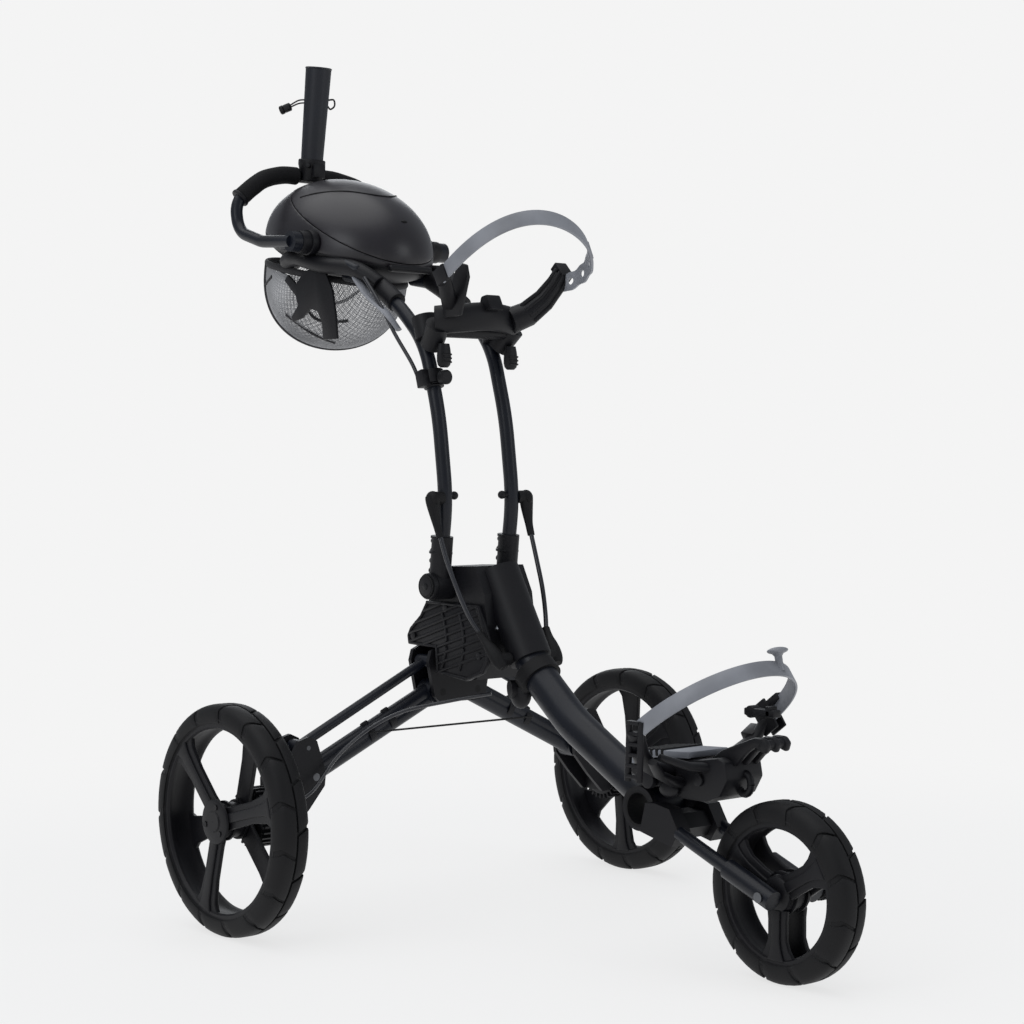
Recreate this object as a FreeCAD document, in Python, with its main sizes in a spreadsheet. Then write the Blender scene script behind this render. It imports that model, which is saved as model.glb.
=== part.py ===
"""Three-wheeled golf push cart, unfolded, with no bag on it.

Frame: +X is the cart's right side, +Y points forward to the front wheel, +Z is up, and the
ground is z = 0.  The origin is the middle of the cart's footprint box.  Places below are counted
from the middle of the rear axle line, and at() moves them to the origin.
"""
import FreeCAD, Part
import math
import os
import Sketcher
from FreeCAD import Placement, Rotation, Vector

doc = FreeCAD.newDocument("push_cart")
sheet = doc.addObject("Spreadsheet::Sheet", "sizes")

DRIVING_SIZES = [
    ("axle_line", -177.2, "rear axle line, from the middle of the footprint"),
    ("rear_radius", 145.0, "rear tyre, outside"),
    ("front_radius", 104.0, "front tyre, outside"),
    ("tyre_wide", 46.0, "width of every tyre"),
    ("tyre_deep", 24.0, "tyre, tread to rim"),
    ("rim_band", 7.0, "rim band under the tyre"),
    ("half_track", 342.0, "middle of a rear wheel, from the centre plane"),
    ("wheelbase", 617.0, "front axle, ahead of the rear axle"),
    ("axle_radius", 6.0, "all three axles"),
    ("running_gap", 0.05, "radial gap of a pin or axle in its bore"),
    ("wheel_hub_radius", 22.0, "barrel in the middle of a wheel"),
    ("spoke_wide", 22.0, "one wheel spoke, across"),
    ("spoke_thick", 7.0, "one wheel spoke, along the axle"),
    ("drum_radius", 38.0, "brake drum"),
    ("drum_long", 32.0, "brake drum, along the axle"),
    ("spine_radius", 22.5, "main tube"),
    ("spine_wall", 2.0, "wall of the main tube"),
    ("boss_radius", 27.0, "fork pivot ring"),
    ("boss_bore", 22.0, "hole of the fork pivot ring"),
    ("boss_wide", 44.0, "fork pivot ring, along X"),
    ("leg_half_tall", 15.0, "rear leg's oval section, half height"),
    ("leg_half_wide", 10.5, "rear leg's oval section, half width"),
    ("fold_rod_radius", 6.5, "rod beside each rear leg"),
    ("hinge_pin_radius", 5.0, "pins of the rear legs"),
    ("cheek_thick", 6.0, "plates that hold the leg pins"),
    ("tube_radius", 9.5, "upper tubes"),
    ("tube_wall", 1.6, "wall of the upper tubes and the handle"),
    ("tube_spread", 57.0, "upper tube, from the centre plane"),
    ("pivot_pin_radius", 8.0, "pin that the upper frame turns on"),
    ("socket_wide", 28.0, "socket at the foot of an upper tube"),
    ("casting_half_wide", 41.0, "hub casting, half width"),
    ("side_plate_thick", 6.0, "ribbed plate on each side of the hub"),
    ("fork_arm_radius", 8.0, "front fork arm"),
    ("fork_sleeve_radius", 12.0, "thick end of a fork arm"),
    ("fork_spread", 36.0, "fork arm, from the centre plane"),
    ("strap_wide", 20.0, "bag strap"),
    ("strap_thick", 3.0, "bag strap"),
    ("handle_radius", 8.5, "handle tube"),
    ("grip_radius", 12.5, "foam grip"),
    ("umbrella_foot", 16.0, "umbrella tube's radius at its foot"),
    ("umbrella_top", 18.5, "umbrella tube's radius at its top"),
    ("umbrella_bore", 13.0, "umbrella tube's bore radius"),
    ("umbrella_long", 131.0, "umbrella tube"),
    ("umbrella_deep", 118.0, "umbrella tube's bore, from its top"),
    ("pod_half_wide", 105.0, "console, half width"),
    ("pod_half_long", 143.0, "console, half length"),
    ("lid_high", 93.0, "console lid, above its seam"),
    ("base_deep", 42.0, "console base, below the seam"),
    ("net_half_wide", 88.0, "net pouch, half width"),
    ("net_half_long", 122.0, "net pouch, half length"),
    ("net_deep", 112.0, "net pouch, depth"),
    ("shell_wall", 3.0, "walls of the console and the net pouch"),
    ("cable_radius", 3.0, "brake and fold cables"),
    ("wire_radius", 1.5, "stay wires"),
]
for row, (alias, value, meaning) in enumerate(DRIVING_SIZES, start=1):
    sheet.set(f"A{row}", meaning)
    sheet.set(f"B{row}", str(value))
    sheet.setAlias(f"B{row}", alias)
doc.recompute()

RIGHT_AND_LEFT = (("right", 1), ("left", -1))
ALONG_X = Vector(1, 0, 0)
ALONG_Y = Vector(0, 1, 0)
subparts = []


def size(alias):
    """The number in a cell of the sheet."""
    return float(getattr(sheet, alias))


def at(x, y, z):
    """A place in the part's frame, from one counted from the rear axle line."""
    return Vector(x, y + size("axle_line"), z)


def bind(obj, **sizes):
    """Bind properties to expressions on the sheet's cells, or set plain numbers."""
    for name, value in sizes.items():
        if isinstance(value, str):
            obj.setExpression(name, value)
        else:
            setattr(obj, name, value)
    return obj


def keep(obj, label):
    """Name an object as a finished sub-part."""
    obj.Label = label
    subparts.append(obj)
    return obj


def cylinder(name, radius, length, start, along):
    obj = bind(doc.addObject("Part::Cylinder", name), Radius=radius, Height=length)
    obj.Placement = Placement(start, Rotation(Vector(0, 0, 1), along))
    return obj


def box(name, long_x, long_y, long_z, corner):
    obj = bind(doc.addObject("Part::Box", name), Length=long_x, Width=long_y, Height=long_z)
    obj.Placement = Placement(corner, Rotation())
    return obj


def rod(name, radius, start, end):
    """A round bar between two places."""
    return cylinder(name, radius, (end - start).Length, start, end - start)


def fuse(name, shapes):
    obj = doc.addObject("Part::MultiFuse", name)
    obj.Shapes = shapes
    return obj


def group(name, shapes):
    """Separate solids that share one node."""
    obj = doc.addObject("Part::Compound", name)
    obj.Links = shapes
    return obj


def cut(name, base, tools):
    """A shape less one tool, or less several that are joined first."""
    obj = doc.addObject("Part::Cut", name)
    obj.Base = base
    obj.Tool = tools[0] if len(tools) == 1 else fuse(name + "_tools", tools)
    return obj


def copy_of(name, source):
    """A second use of a shape, because a boolean takes its tools for itself."""
    obj = doc.addObject("Part::Feature", name)
    doc.recompute()
    obj.Shape = source.Shape.copy()
    return obj


def sketch_on(body, role, name, lift):
    """An empty sketch on one of a body's origin planes, lifted along its normal."""
    sketch = body.newObject("Sketcher::SketchObject", name)
    plane = [item for item in body.Origin.OriginFeatures if item.Role == role][0]
    sketch.AttachmentSupport = (plane, [""])
    sketch.MapMode = "FlatFace"
    sketch.AttachmentOffset = Placement(Vector(0, 0, lift), Rotation())
    return sketch


def draw_outline(sketch, corners):
    points = [Vector(a, b, 0) for a, b in corners]
    for start, end in zip(points, points[1:] + points[:1]):
        sketch.addGeometry(Part.LineSegment(start, end), False)


def draw_hole(sketch, centre, radius):
    """A round hole whose radius is bound to the sheet."""
    index = sketch.addGeometry(Part.Circle(Vector(centre[0], centre[1], 0), Vector(0, 0, 1), 1), False)
    number = sketch.addConstraint(Sketcher.Constraint("Radius", index, 1.0))
    sketch.setExpression(f"Constraints[{number}]", radius)


def plate_across_x(name, outline, thick, low_x, holes=()):
    """A plate with a (y, z) outline, from low_x towards +X."""
    body = doc.addObject("PartDesign::Body", name)
    sketch = sketch_on(body, "YZ_Plane", name + "_sketch", low_x)
    shift = size("axle_line")
    draw_outline(sketch, [(y + shift, z) for y, z in outline])
    for y, z, radius in holes:
        draw_hole(sketch, (y + shift, z), radius)
    pad = body.newObject("PartDesign::Pad", name + "_pad")
    pad.Profile = sketch
    bind(pad, Length=thick)
    return body


def plate_across_y(name, outline, thick, high_y, holes=()):
    """A plate with an (x, z) outline, from high_y towards -Y."""
    body = doc.addObject("PartDesign::Body", name)
    sketch = sketch_on(body, "XZ_Plane", name + "_sketch", -(high_y + size("axle_line")))
    draw_outline(sketch, outline)
    for x, z, radius in holes:
        draw_hole(sketch, (x, z), radius)
    pad = body.newObject("PartDesign::Pad", name + "_pad")
    pad.Profile = sketch
    bind(pad, Length=thick)
    return body


def turned_about_x(name, profile, centre):
    """A solid of revolution about X through centre, from (x, radius) corners."""
    body = doc.addObject("PartDesign::Body", name)
    sketch = sketch_on(body, "XY_Plane", name + "_sketch", 0)
    draw_outline(sketch, profile)
    turn = body.newObject("PartDesign::Revolution", name + "_turn")
    turn.Profile = sketch
    turn.ReferenceAxis = (sketch, ["H_Axis"])
    turn.Angle = 360
    body.Placement = Placement(centre, Rotation())
    return body


def rounded_wire(points, tightest):
    """Straight runs joined by tangent arcs, each as large as its runs allow up to tightest."""
    edges = []
    last = points[0]
    for before, corner, after in zip(points, points[1:], points[2:]):
        into = (corner - before).normalize()
        out = (after - corner).normalize()
        half_turn = into.getAngle(out) / 2
        shorter = min((corner - before).Length, (after - corner).Length)
        setback = min(0.45 * shorter, tightest * math.tan(half_turn))
        start = corner - into * setback
        end = corner + out * setback
        rise = setback * math.tan(half_turn / 2)
        inward = (out - into).normalize()
        middle = corner + inward * (setback * math.sin(half_turn) - rise * math.cos(half_turn))
        edges.append(Part.LineSegment(last, start).toShape())
        edges.append(Part.Arc(start, middle, end).toShape())
        last = end
    edges.append(Part.LineSegment(last, points[-1]).toShape())
    return Part.Wire(edges)


def swept(name, points, tightest, radius):
    """A solid round bar along a rounded path."""
    spine = doc.addObject("Part::Feature", name + "_path")
    spine.Shape = rounded_wire(points, tightest)
    start = Rotation(Vector(0, 0, 1), points[1] - points[0])
    section = bind(doc.addObject("Part::Circle", name + "_section"), Radius=radius)
    section.Placement = Placement(points[0], start)
    obj = doc.addObject("Part::Sweep", name)
    obj.Sections = [section]
    obj.Spine = (spine, [f"Edge{number + 1}" for number in range(len(spine.Shape.Edges))])
    obj.Solid = True
    obj.Frenet = False
    return obj


def hollow_tube(name, points, tightest, radius, wall):
    outer = swept(name + "_outside", points, tightest, radius)
    inner = swept(name + "_inside", points, tightest, f"{radius} - {wall}")
    return cut(name, outer, [inner])


# ---------------------------------------------------------------- main tube and fork pivot ring
SPINE_ROUTE = [at(0, 112, 447), at(0, 186, 321), at(0, 258, 262), at(0, 400, 184)]
SPINE_BEND = 190
FORK_PIVOT = (406.0, 176.0)

boss_start = at(-size("boss_wide") / 2, *FORK_PIVOT)
spine_outside = swept("spine_outside", SPINE_ROUTE, SPINE_BEND, "sizes.spine_radius")
spine_inside = swept("spine_inside", SPINE_ROUTE, SPINE_BEND, "sizes.spine_radius - sizes.spine_wall")
spine_shadow = swept("spine_shadow", SPINE_ROUTE, SPINE_BEND, "sizes.spine_radius")
boss_outside = cylinder("boss_outside", "sizes.boss_radius", "sizes.boss_wide", boss_start, ALONG_X)
boss_hole = cylinder("boss_hole", "sizes.boss_bore", "sizes.boss_wide + 8", boss_start - ALONG_X * 4, ALONG_X)
spine_hollow = cut("spine_hollow", spine_outside, [spine_inside])
spine_solid = fuse("spine_solid", [spine_hollow, boss_outside])
main_tube = keep(cut("main_tube", spine_solid, [boss_hole]), "main_tube")

# ---------------------------------------------------------------- hub casting and its side plates
UPPER_PIVOT = (60.0, 428.0)
CASTING_OUTLINE = [(32, 452), (114, 455), (132, 420), (138, 380), (132, 336), (116, 308), (42, 312),
                   (42, 348), (-12, 348), (-14, 358), (6, 386), (20, 410)]
PLATE_OUTLINE = [(20, 406), (6, 386), (-16, 368), (-22, 358), (-20, 348), (40, 346), (42, 312), (104, 306),
                 (136, 318), (148, 336), (147, 362), (126, 405)]
SLEEVE_ROUTE = [SPINE_ROUTE[0], SPINE_ROUTE[1] + (SPINE_ROUTE[0] - SPINE_ROUTE[1]) * 0.12]

casting_block = plate_across_x("casting_block", CASTING_OUTLINE, "2 * sizes.casting_half_wide",
                               -size("casting_half_wide"),
                               [(*UPPER_PIVOT, "sizes.pivot_pin_radius")])
casting_sleeve = swept("casting_sleeve", SLEEVE_ROUTE, 0, "sizes.spine_radius + 5")
hub_casting = keep(cut("hub_casting", fuse("casting_solid", [casting_block, casting_sleeve]), [spine_shadow]),
                   "hub_casting")

for side, sign in RIGHT_AND_LEFT:
    low_x = size("casting_half_wide") * sign - (size("side_plate_thick") if sign < 0 else 0)
    keep(plate_across_x(f"hub_plate_{side}", PLATE_OUTLINE, "sizes.side_plate_thick", low_x),
         f"hub_plate_{side}")

COLLAR_MIDDLE = at(0, 190, 317)
COLLAR_ALONG = Vector(0, 72, -59).normalize()
COLLAR_LONG = 18.0
collar_ring = cylinder("collar_ring", "sizes.spine_radius + 6", COLLAR_LONG,
                       COLLAR_MIDDLE - COLLAR_ALONG * (COLLAR_LONG / 2), COLLAR_ALONG)
collar_bore = swept("collar_bore", SPINE_ROUTE, SPINE_BEND, "sizes.spine_radius + 0.2")
keep(cut("spine_collar", collar_ring, [collar_bore]), "spine_collar")

# ---------------------------------------------------------------- pivots of the rear legs
LEG_HINGE = (30.0, 12.0, 285.0)
ROD_HINGE = (42.0, 12.0, 326.0)
BRACKET_OUTLINE = [(-50, 340), (-36, 346), (36, 346), (50, 340), (54, 326), (44, 280), (34, 271),
                   (-34, 271), (-44, 280), (-54, 326)]
BRACKET_GAP = 32.0

bracket_holes = [(sign * hinge[0], hinge[2], "sizes.hinge_pin_radius")
                 for hinge in (LEG_HINGE, ROD_HINGE) for sign in (1, -1)]
front_face = LEG_HINGE[1] + BRACKET_GAP / 2
front_cheek = plate_across_y("front_cheek", BRACKET_OUTLINE, "sizes.cheek_thick",
                             front_face + size("cheek_thick"), bracket_holes)
rear_cheek = plate_across_y("rear_cheek", BRACKET_OUTLINE, "sizes.cheek_thick",
                            front_face - BRACKET_GAP, bracket_holes)
bracket_web = box("bracket_web", 24, BRACKET_GAP, 75, at(-12, front_face - BRACKET_GAP, 271))
keep(fuse("leg_bracket", [front_cheek, rear_cheek, bracket_web]), "leg_bracket")

pin_length = BRACKET_GAP + 2 * size("cheek_thick")
hub_pins = [cylinder(f"hub_pin_{number}", "sizes.hinge_pin_radius", pin_length,
                     at(sign * hinge[0], front_face - BRACKET_GAP - size("cheek_thick"), hinge[2]), ALONG_Y)
            for number, (hinge, sign) in enumerate([(LEG_HINGE, 1), (LEG_HINGE, -1),
                                                    (ROD_HINGE, 1), (ROD_HINGE, -1)])]
PIVOT_PIN_END = 73.0
pivot_shank = cylinder("pivot_shank", "sizes.pivot_pin_radius", 2 * PIVOT_PIN_END,
                       at(-PIVOT_PIN_END, *UPPER_PIVOT), ALONG_X)
pivot_heads = [cylinder(f"pivot_head_{side}", 15.0, 7.0,
                        at(sign * PIVOT_PIN_END, *UPPER_PIVOT), ALONG_X * sign)
               for side, sign in RIGHT_AND_LEFT]
pivot_pin = fuse("pivot_pin", [pivot_shank] + pivot_heads)
keep(group("hub_pins", hub_pins + [pivot_pin]), "hub_pins")

# ---------------------------------------------------------------- rear legs, rods and knuckles
LEG_END = (229.0, 2.0, 190.0)
ROD_END = (241.0, 2.0, 228.0)
EYE_LONG = 26.0
KNUCKLE_GAP = 34.0
KNUCKLE_OUTLINE = [(214, 196), (222, 218), (228, 236), (241, 242), (256, 238), (284, 190), (284, 122),
                   (268, 122), (240, 150), (216, 178)]
DRUM_INNER_X = 285.0


def mirrored(outline, sign):
    return [(sign * a, b) for a, b in outline]


def leg_place(place, sign):
    return at(sign * place[0], place[1], place[2])


for side, sign in RIGHT_AND_LEFT:
    hinge = leg_place(LEG_HINGE, sign)
    far_end = leg_place(LEG_END, sign)
    along = (far_end - hinge).normalize()
    half_eye = ALONG_Y * (EYE_LONG / 2)

    across = along.cross(ALONG_Y).normalize()
    offset = across * (size("leg_half_tall") - size("leg_half_wide"))
    bars = [rod(f"leg_bar_{side}_{number}", "sizes.leg_half_wide", hinge + along * 9 + shift,
                far_end - along * 9 + shift) for number, shift in enumerate((offset, -offset))]
    eyes = [cylinder(f"leg_eye_{side}_{number}", "sizes.leg_half_tall + 1.4", EYE_LONG, place - half_eye, ALONG_Y)
            for number, place in enumerate((hinge, far_end))]
    bores = [cylinder(f"leg_bore_{side}_{number}", "sizes.hinge_pin_radius + sizes.running_gap",
                      2 * EYE_LONG, place - half_eye * 2, ALONG_Y)
             for number, place in enumerate((hinge, far_end))]
    rings = [cut(f"leg_ring_{side}_{number}", eye, [bore])
             for number, (eye, bore) in enumerate(zip(eyes, bores))]
    keep(fuse(f"leg_{side}", bars + rings), f"leg_{side}")

    rod_hinge = leg_place(ROD_HINGE, sign)
    rod_end = leg_place(ROD_END, sign)
    rod_along = (rod_end - rod_hinge).normalize()
    bar = rod(f"rod_bar_{side}", "sizes.fold_rod_radius", rod_hinge + rod_along * 6, rod_end - rod_along * 6)
    rod_eyes = [cylinder(f"rod_eye_{side}_{number}", 8.5, EYE_LONG, place - half_eye, ALONG_Y)
                for number, place in enumerate((rod_hinge, rod_end))]
    rod_bores = [cylinder(f"rod_bore_{side}_{number}", radius, 2 * EYE_LONG, place - half_eye * 2, ALONG_Y)
                 for number, (place, radius) in enumerate(
                     ((rod_hinge, "sizes.hinge_pin_radius + sizes.running_gap"),
                      (rod_end, "sizes.hinge_pin_radius + 1.2")))]
    keep(cut(f"fold_rod_{side}", fuse(f"rod_solid_{side}", [bar] + rod_eyes), rod_bores), f"fold_rod_{side}")

    knuckle_holes = [(sign * place[0], place[2], radius)
                     for place, radius in ((LEG_END, "sizes.hinge_pin_radius"), (ROD_END, "3"))]
    outline = mirrored(KNUCKLE_OUTLINE, sign)
    front_side = LEG_END[1] + KNUCKLE_GAP / 2
    cheeks = [plate_across_y(f"knuckle_cheek_{side}_{number}", outline, "sizes.cheek_thick", high, knuckle_holes)
              for number, high in enumerate((front_side + size("cheek_thick"), front_side - KNUCKLE_GAP))]
    block_low = min(sign * 272.0, sign * 284.0)
    block = box(f"knuckle_block_{side}", 12, KNUCKLE_GAP, 68,
                at(block_low, front_side - KNUCKLE_GAP, 122))
    axle_start = at(sign * 272.0, 0, size("rear_radius"))
    axle_hole = cylinder(f"knuckle_hole_{side}", "sizes.axle_radius", 14.0, axle_start, ALONG_X * sign)
    keep(cut(f"knuckle_{side}", fuse(f"knuckle_solid_{side}", cheeks + [block]), [axle_hole]),
         f"knuckle_{side}")

    axle = cylinder(f"axle_bar_{side}", "sizes.axle_radius", 90.0, axle_start, ALONG_X * sign)
    pin_start = front_side - KNUCKLE_GAP - size("cheek_thick")
    leg_pin = cylinder(f"leg_pin_{side}", "sizes.hinge_pin_radius", KNUCKLE_GAP + 2 * size("cheek_thick"),
                       at(sign * LEG_END[0], pin_start, LEG_END[2]), ALONG_Y)
    rod_pin = cylinder(f"rod_pin_{side}", 3.0, KNUCKLE_GAP + 2 * size("cheek_thick"),
                       at(sign * ROD_END[0], pin_start, ROD_END[2]), ALONG_Y)
    keep(group(f"axle_{side}", [axle, leg_pin, rod_pin]), f"axle_{side}")

    drum_solid = cylinder(f"drum_solid_{side}", "sizes.drum_radius", "sizes.drum_long",
                          at(sign * DRUM_INNER_X, 0, size("rear_radius")), ALONG_X * sign)
    drum_hole = cylinder(f"drum_hole_{side}", "sizes.axle_radius", "sizes.drum_long",
                         at(sign * DRUM_INNER_X, 0, size("rear_radius")), ALONG_X * sign)
    keep(cut(f"brake_drum_{side}", drum_solid, [drum_hole]), f"brake_drum_{side}")


# ---------------------------------------------------------------- wheels: tyre, rim, hub cap
SPOKES = 3
SPOKE_LAYER = 15.0
HALF_BARREL = 20.0


def tyre(label, radius, centre):
    """A tyre with a flat tread and rounded shoulders, as corners about its axle."""
    half = size("tyre_wide") / 2
    inner = radius - size("tyre_deep")
    profile = [(-half + 3, inner), (half - 3, inner), (half, inner + 6), (half, radius - 8),
               (half - 7, radius - 1), (half - 14, radius), (-half + 14, radius), (-half + 7, radius - 1),
               (-half, radius - 8), (-half, inner + 6)]
    return keep(turned_about_x(label, profile, centre), label)


def rim(label, radius, centre, first_angle):
    """Rim band, hub barrel and two layers of three spokes."""
    outside = radius - size("tyre_deep")
    inside = outside - size("rim_band")
    half = size("tyre_wide") / 2 - 3
    band = turned_about_x(label + "_band", [(-half, inside), (half, inside), (half, outside), (-half, outside)],
                          centre)
    barrel = cylinder(label + "_barrel", "sizes.wheel_hub_radius", 2 * HALF_BARREL,
                      centre - ALONG_X * HALF_BARREL, ALONG_X)
    bore = cylinder(label + "_bore", "sizes.axle_radius + sizes.running_gap", 2 * HALF_BARREL,
                    centre - ALONG_X * HALF_BARREL, ALONG_X)
    spokes = []
    for layer in (-SPOKE_LAYER, SPOKE_LAYER):
        for number in range(SPOKES):
            turn = Rotation(ALONG_X, first_angle + number * 360.0 / SPOKES)
            spoke = bind(doc.addObject("Part::Box", f"{label}_spoke"), Length="sizes.spoke_thick",
                         Width=inside + 2 - size("wheel_hub_radius") + 4, Height="sizes.spoke_wide")
            corner = Vector(layer - size("spoke_thick") / 2, size("wheel_hub_radius") - 4,
                            -size("spoke_wide") / 2)
            spoke.Placement = Placement(centre + turn.multVec(corner), turn)
            spokes.append(spoke)
    return keep(cut(label, fuse(label + "_solid", [band, barrel] + spokes), [bore]), label)


FAR_SPOKE = {"right": 15.0, "left": 95.0}
for side, sign in RIGHT_AND_LEFT:
    middle = at(sign * size("half_track"), 0, size("rear_radius"))
    tyre(f"tyre_{side}", size("rear_radius"), middle)
    rim(f"rim_{side}", size("rear_radius"), middle, FAR_SPOKE[side])
    cap_start = middle + ALONG_X * (sign * (HALF_BARREL + 0.5))
    keep(cylinder(f"hub_cap_{side}", 26.0, 5.0, cap_start, ALONG_X * sign), f"hub_cap_{side}")

front_middle = at(0, size("wheelbase"), size("front_radius"))
tyre("front_tyre", size("front_radius"), front_middle)
rim("front_rim", size("front_radius"), front_middle, 30.0)

# ---------------------------------------------------------------- front fork
FORK_ROOT = (462.0, 166.0)
CHEEK_INNER_X = 22.5
CHEEK_THICK = 8.0
YOKE_OUTLINE = [(421, 152), (474, 140), (486, 158), (470, 184), (446, 188), (430, 187)]

fork_rings = [cylinder(f"fork_ring_{side}", "sizes.boss_radius", CHEEK_THICK,
                       at(sign * CHEEK_INNER_X, *FORK_PIVOT), ALONG_X * sign) for side, sign in RIGHT_AND_LEFT]
fork_holes = cylinder("fork_holes", "sizes.boss_bore - sizes.running_gap", 2 * (CHEEK_INNER_X + CHEEK_THICK),
                      at(-CHEEK_INNER_X - CHEEK_THICK, *FORK_PIVOT), ALONG_X)
yoke_cheeks = [plate_across_x(f"yoke_cheek_{side}", YOKE_OUTLINE, 20.0,
                              CHEEK_INNER_X if sign > 0 else -CHEEK_INNER_X - 20.0)
               for side, sign in RIGHT_AND_LEFT]
yoke_bridge = plate_across_x("yoke_bridge", [(446, 150), (468, 146), (478, 160), (466, 176), (446, 178)],
                             2 * CHEEK_INNER_X + 4, -CHEEK_INNER_X - 2)
keep(cut("fork_yoke", fuse("yoke_solid", fork_rings + yoke_cheeks + [yoke_bridge]), [fork_holes]), "fork_yoke")

bush_outside = cylinder("bush_outside", "sizes.boss_bore - sizes.running_gap",
                        2 * (CHEEK_INNER_X + CHEEK_THICK),
                        at(-CHEEK_INNER_X - CHEEK_THICK, *FORK_PIVOT), ALONG_X)
bush_inside = cylinder("bush_inside", "sizes.boss_bore - 3", 2 * (CHEEK_INNER_X + CHEEK_THICK),
                       at(-CHEEK_INNER_X - CHEEK_THICK, *FORK_PIVOT), ALONG_X)
keep(cut("pivot_bush", bush_outside, [bush_inside]), "pivot_bush")

arms = []
for side, sign in RIGHT_AND_LEFT:
    spread = sign * size("fork_spread")
    root = at(spread, 480, 157)
    tip = at(spread, size("wheelbase"), size("front_radius"))
    along = (tip - root).normalize()
    thin = rod(f"fork_thin_{side}", "sizes.fork_arm_radius", root, tip - along * 50)
    thick = rod(f"fork_thick_{side}", "sizes.fork_sleeve_radius", tip - along * 62, tip + along * 12)
    hole = cylinder(f"fork_axle_hole_{side}", "sizes.axle_radius", 30.0,
                    tip - ALONG_X * 15, ALONG_X)
    shadow = copy_of(f"yoke_shadow_{side}", yoke_cheeks[0 if sign > 0 else 1])
    arms.append(cut(f"fork_arm_{side}", fuse(f"fork_arm_solid_{side}", [thin, thick]), [hole, shadow]))
keep(group("fork_arms", arms), "fork_arms")

FRONT_AXLE_HALF = 50.0
keep(cylinder("front_axle", "sizes.axle_radius", 2 * FRONT_AXLE_HALF,
              front_middle - ALONG_X * FRONT_AXLE_HALF, ALONG_X), "front_axle")
knob_start = front_middle - ALONG_X * (FRONT_AXLE_HALF + 0.2)
keep(cylinder("tracking_knob", 17.0, 12.0, knob_start, ALONG_X * -1), "tracking_knob")

# ---------------------------------------------------------------- lower bag bracket and its strap
BASE_OUTLINE = [(397, 205), (392, 222), (424, 238), (500, 244), (548, 250), (552, 214), (520, 198),
                (500, 196), (440, 206), (420, 203)]
CLAW_OUTLINE = [(520, 250), (548, 262), (582, 276), (600, 272), (592, 258), (566, 248), (546, 236)]
LOWER_STRAP = {"middle": (488.0, 284.0), "half_wide": 111.0, "reach": 118.5, "tilt": 36.6}
base_block = plate_across_x("base_block", BASE_OUTLINE, 64.0, -32.0)
claw = plate_across_x("claw", CLAW_OUTLINE, 24.0, -24.0)
wing_bars = [claw]
for side, sign in RIGHT_AND_LEFT:
    wing_bars.append(rod(f"wing_{side}", 10.0, at(sign * 22, 462, 226), at(sign * 106, 483, 274)))
ladder_post = box("ladder_post", 12, 22, 72, at(104, 472, 222))
far_post = box("far_post", 12, 22, 34, at(-116, 472, 258))
wing_bars += [ladder_post, far_post]
wing_bars.append(rod("ladder_foot", 8.0, at(24, 455, 216), at(108, 481, 232)))
boss_shadow = cylinder("boss_shadow", "sizes.boss_radius + 0.4", 100.0,
                       at(-50, *FORK_PIVOT), ALONG_X)
bracket_shadow = swept("bracket_shadow", SPINE_ROUTE, SPINE_BEND, "sizes.spine_radius + 0.4")
keep(cut("lower_bracket", fuse("lower_bracket_solid", [base_block] + wing_bars),
         [boss_shadow, bracket_shadow]), "lower_bracket")
pad_outline = [(398, 226), (423, 239), (492, 244), (494, 256), (440, 252), (402, 246)]
keep(plate_across_x("lower_pad", pad_outline, 60.0, -30.0), "lower_pad")


def bag_strap(label, middle, half_wide, reach, tilt):
    """A flat strap bent round half an ellipse, whose plane rises to the front."""
    lean = Rotation(ALONG_X, tilt)
    faces = []
    for inset in (0.0, size("strap_thick")):
        major, minor = sorted((half_wide - inset, reach - inset), reverse=True)
        first = Vector(1, 0, 0) if half_wide > reach else Vector(0, 1, 0)
        second = Vector(0, 1, 0) if half_wide > reach else Vector(-1, 0, 0)
        ellipse = Part.Ellipse(first * major, second * minor, Vector(0, 0, 0))
        faces.append(Part.Face(Part.Wire([ellipse.toShape()])))
    ring = faces[0].cut(faces[1]).extrude(Vector(0, 0, size("strap_wide")))
    front_half = Part.makeBox(4 * half_wide, 2 * reach, 100, Vector(-2 * half_wide, 0, -20))
    shape = ring.common(front_half)
    obj = doc.addObject("Part::Feature", label)
    obj.Shape = shape.Solids[0]
    sink = lean.multVec(Vector(0, 0, -size("strap_wide") / 2))
    obj.Placement = Placement(at(0, *middle) + sink, lean)
    return obj


lower_loop = bag_strap("lower_loop", LOWER_STRAP["middle"], LOWER_STRAP["half_wide"] - 6.4,
                       LOWER_STRAP["reach"], LOWER_STRAP["tilt"])
ladder_shadow = [box("ladder_shadow_right", 12, 22, 72, at(104, 472, 222)),
                 box("ladder_shadow_left", 12, 22, 34, at(-116, 472, 258))]
tab_start = at(-30, 574, 356)
tab_stem = cylinder("tab_stem", 4.0, 16.0, tab_start, Vector(0, -0.2, 1))
tab_head = cylinder("tab_head", 14.0, 6.0, tab_start + Vector(0, -3, 15), Vector(0, -0.2, 1))
keep(fuse("lower_strap", [cut("lower_loop_trimmed", lower_loop, ladder_shadow), tab_stem, tab_head]),
     "lower_strap")
buckle_bar = box("buckle_bar", 14, 40, 18, at(-90, 486, 282))
buckle_eye = cylinder("buckle_eye", 9.0, 14.0, at(-90, 486, 291), ALONG_X)
keep(fuse("lower_buckle", [buckle_bar, buckle_eye]), "lower_buckle")

# ---------------------------------------------------------------- upper tubes and their sockets
def upper_route(sign):
    spread = sign * size("tube_spread")
    outline = [(64, 468), (74, 540), (60, 648), (32, 745), (-23, 797), (-88, 837), (-140, 846)]
    return [at(spread, y, z) for y, z in outline]


for side, sign in RIGHT_AND_LEFT:
    keep(hollow_tube(f"upper_tube_{side}", upper_route(sign), 400, "sizes.tube_radius", "sizes.tube_wall"),
         f"upper_tube_{side}")

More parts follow.
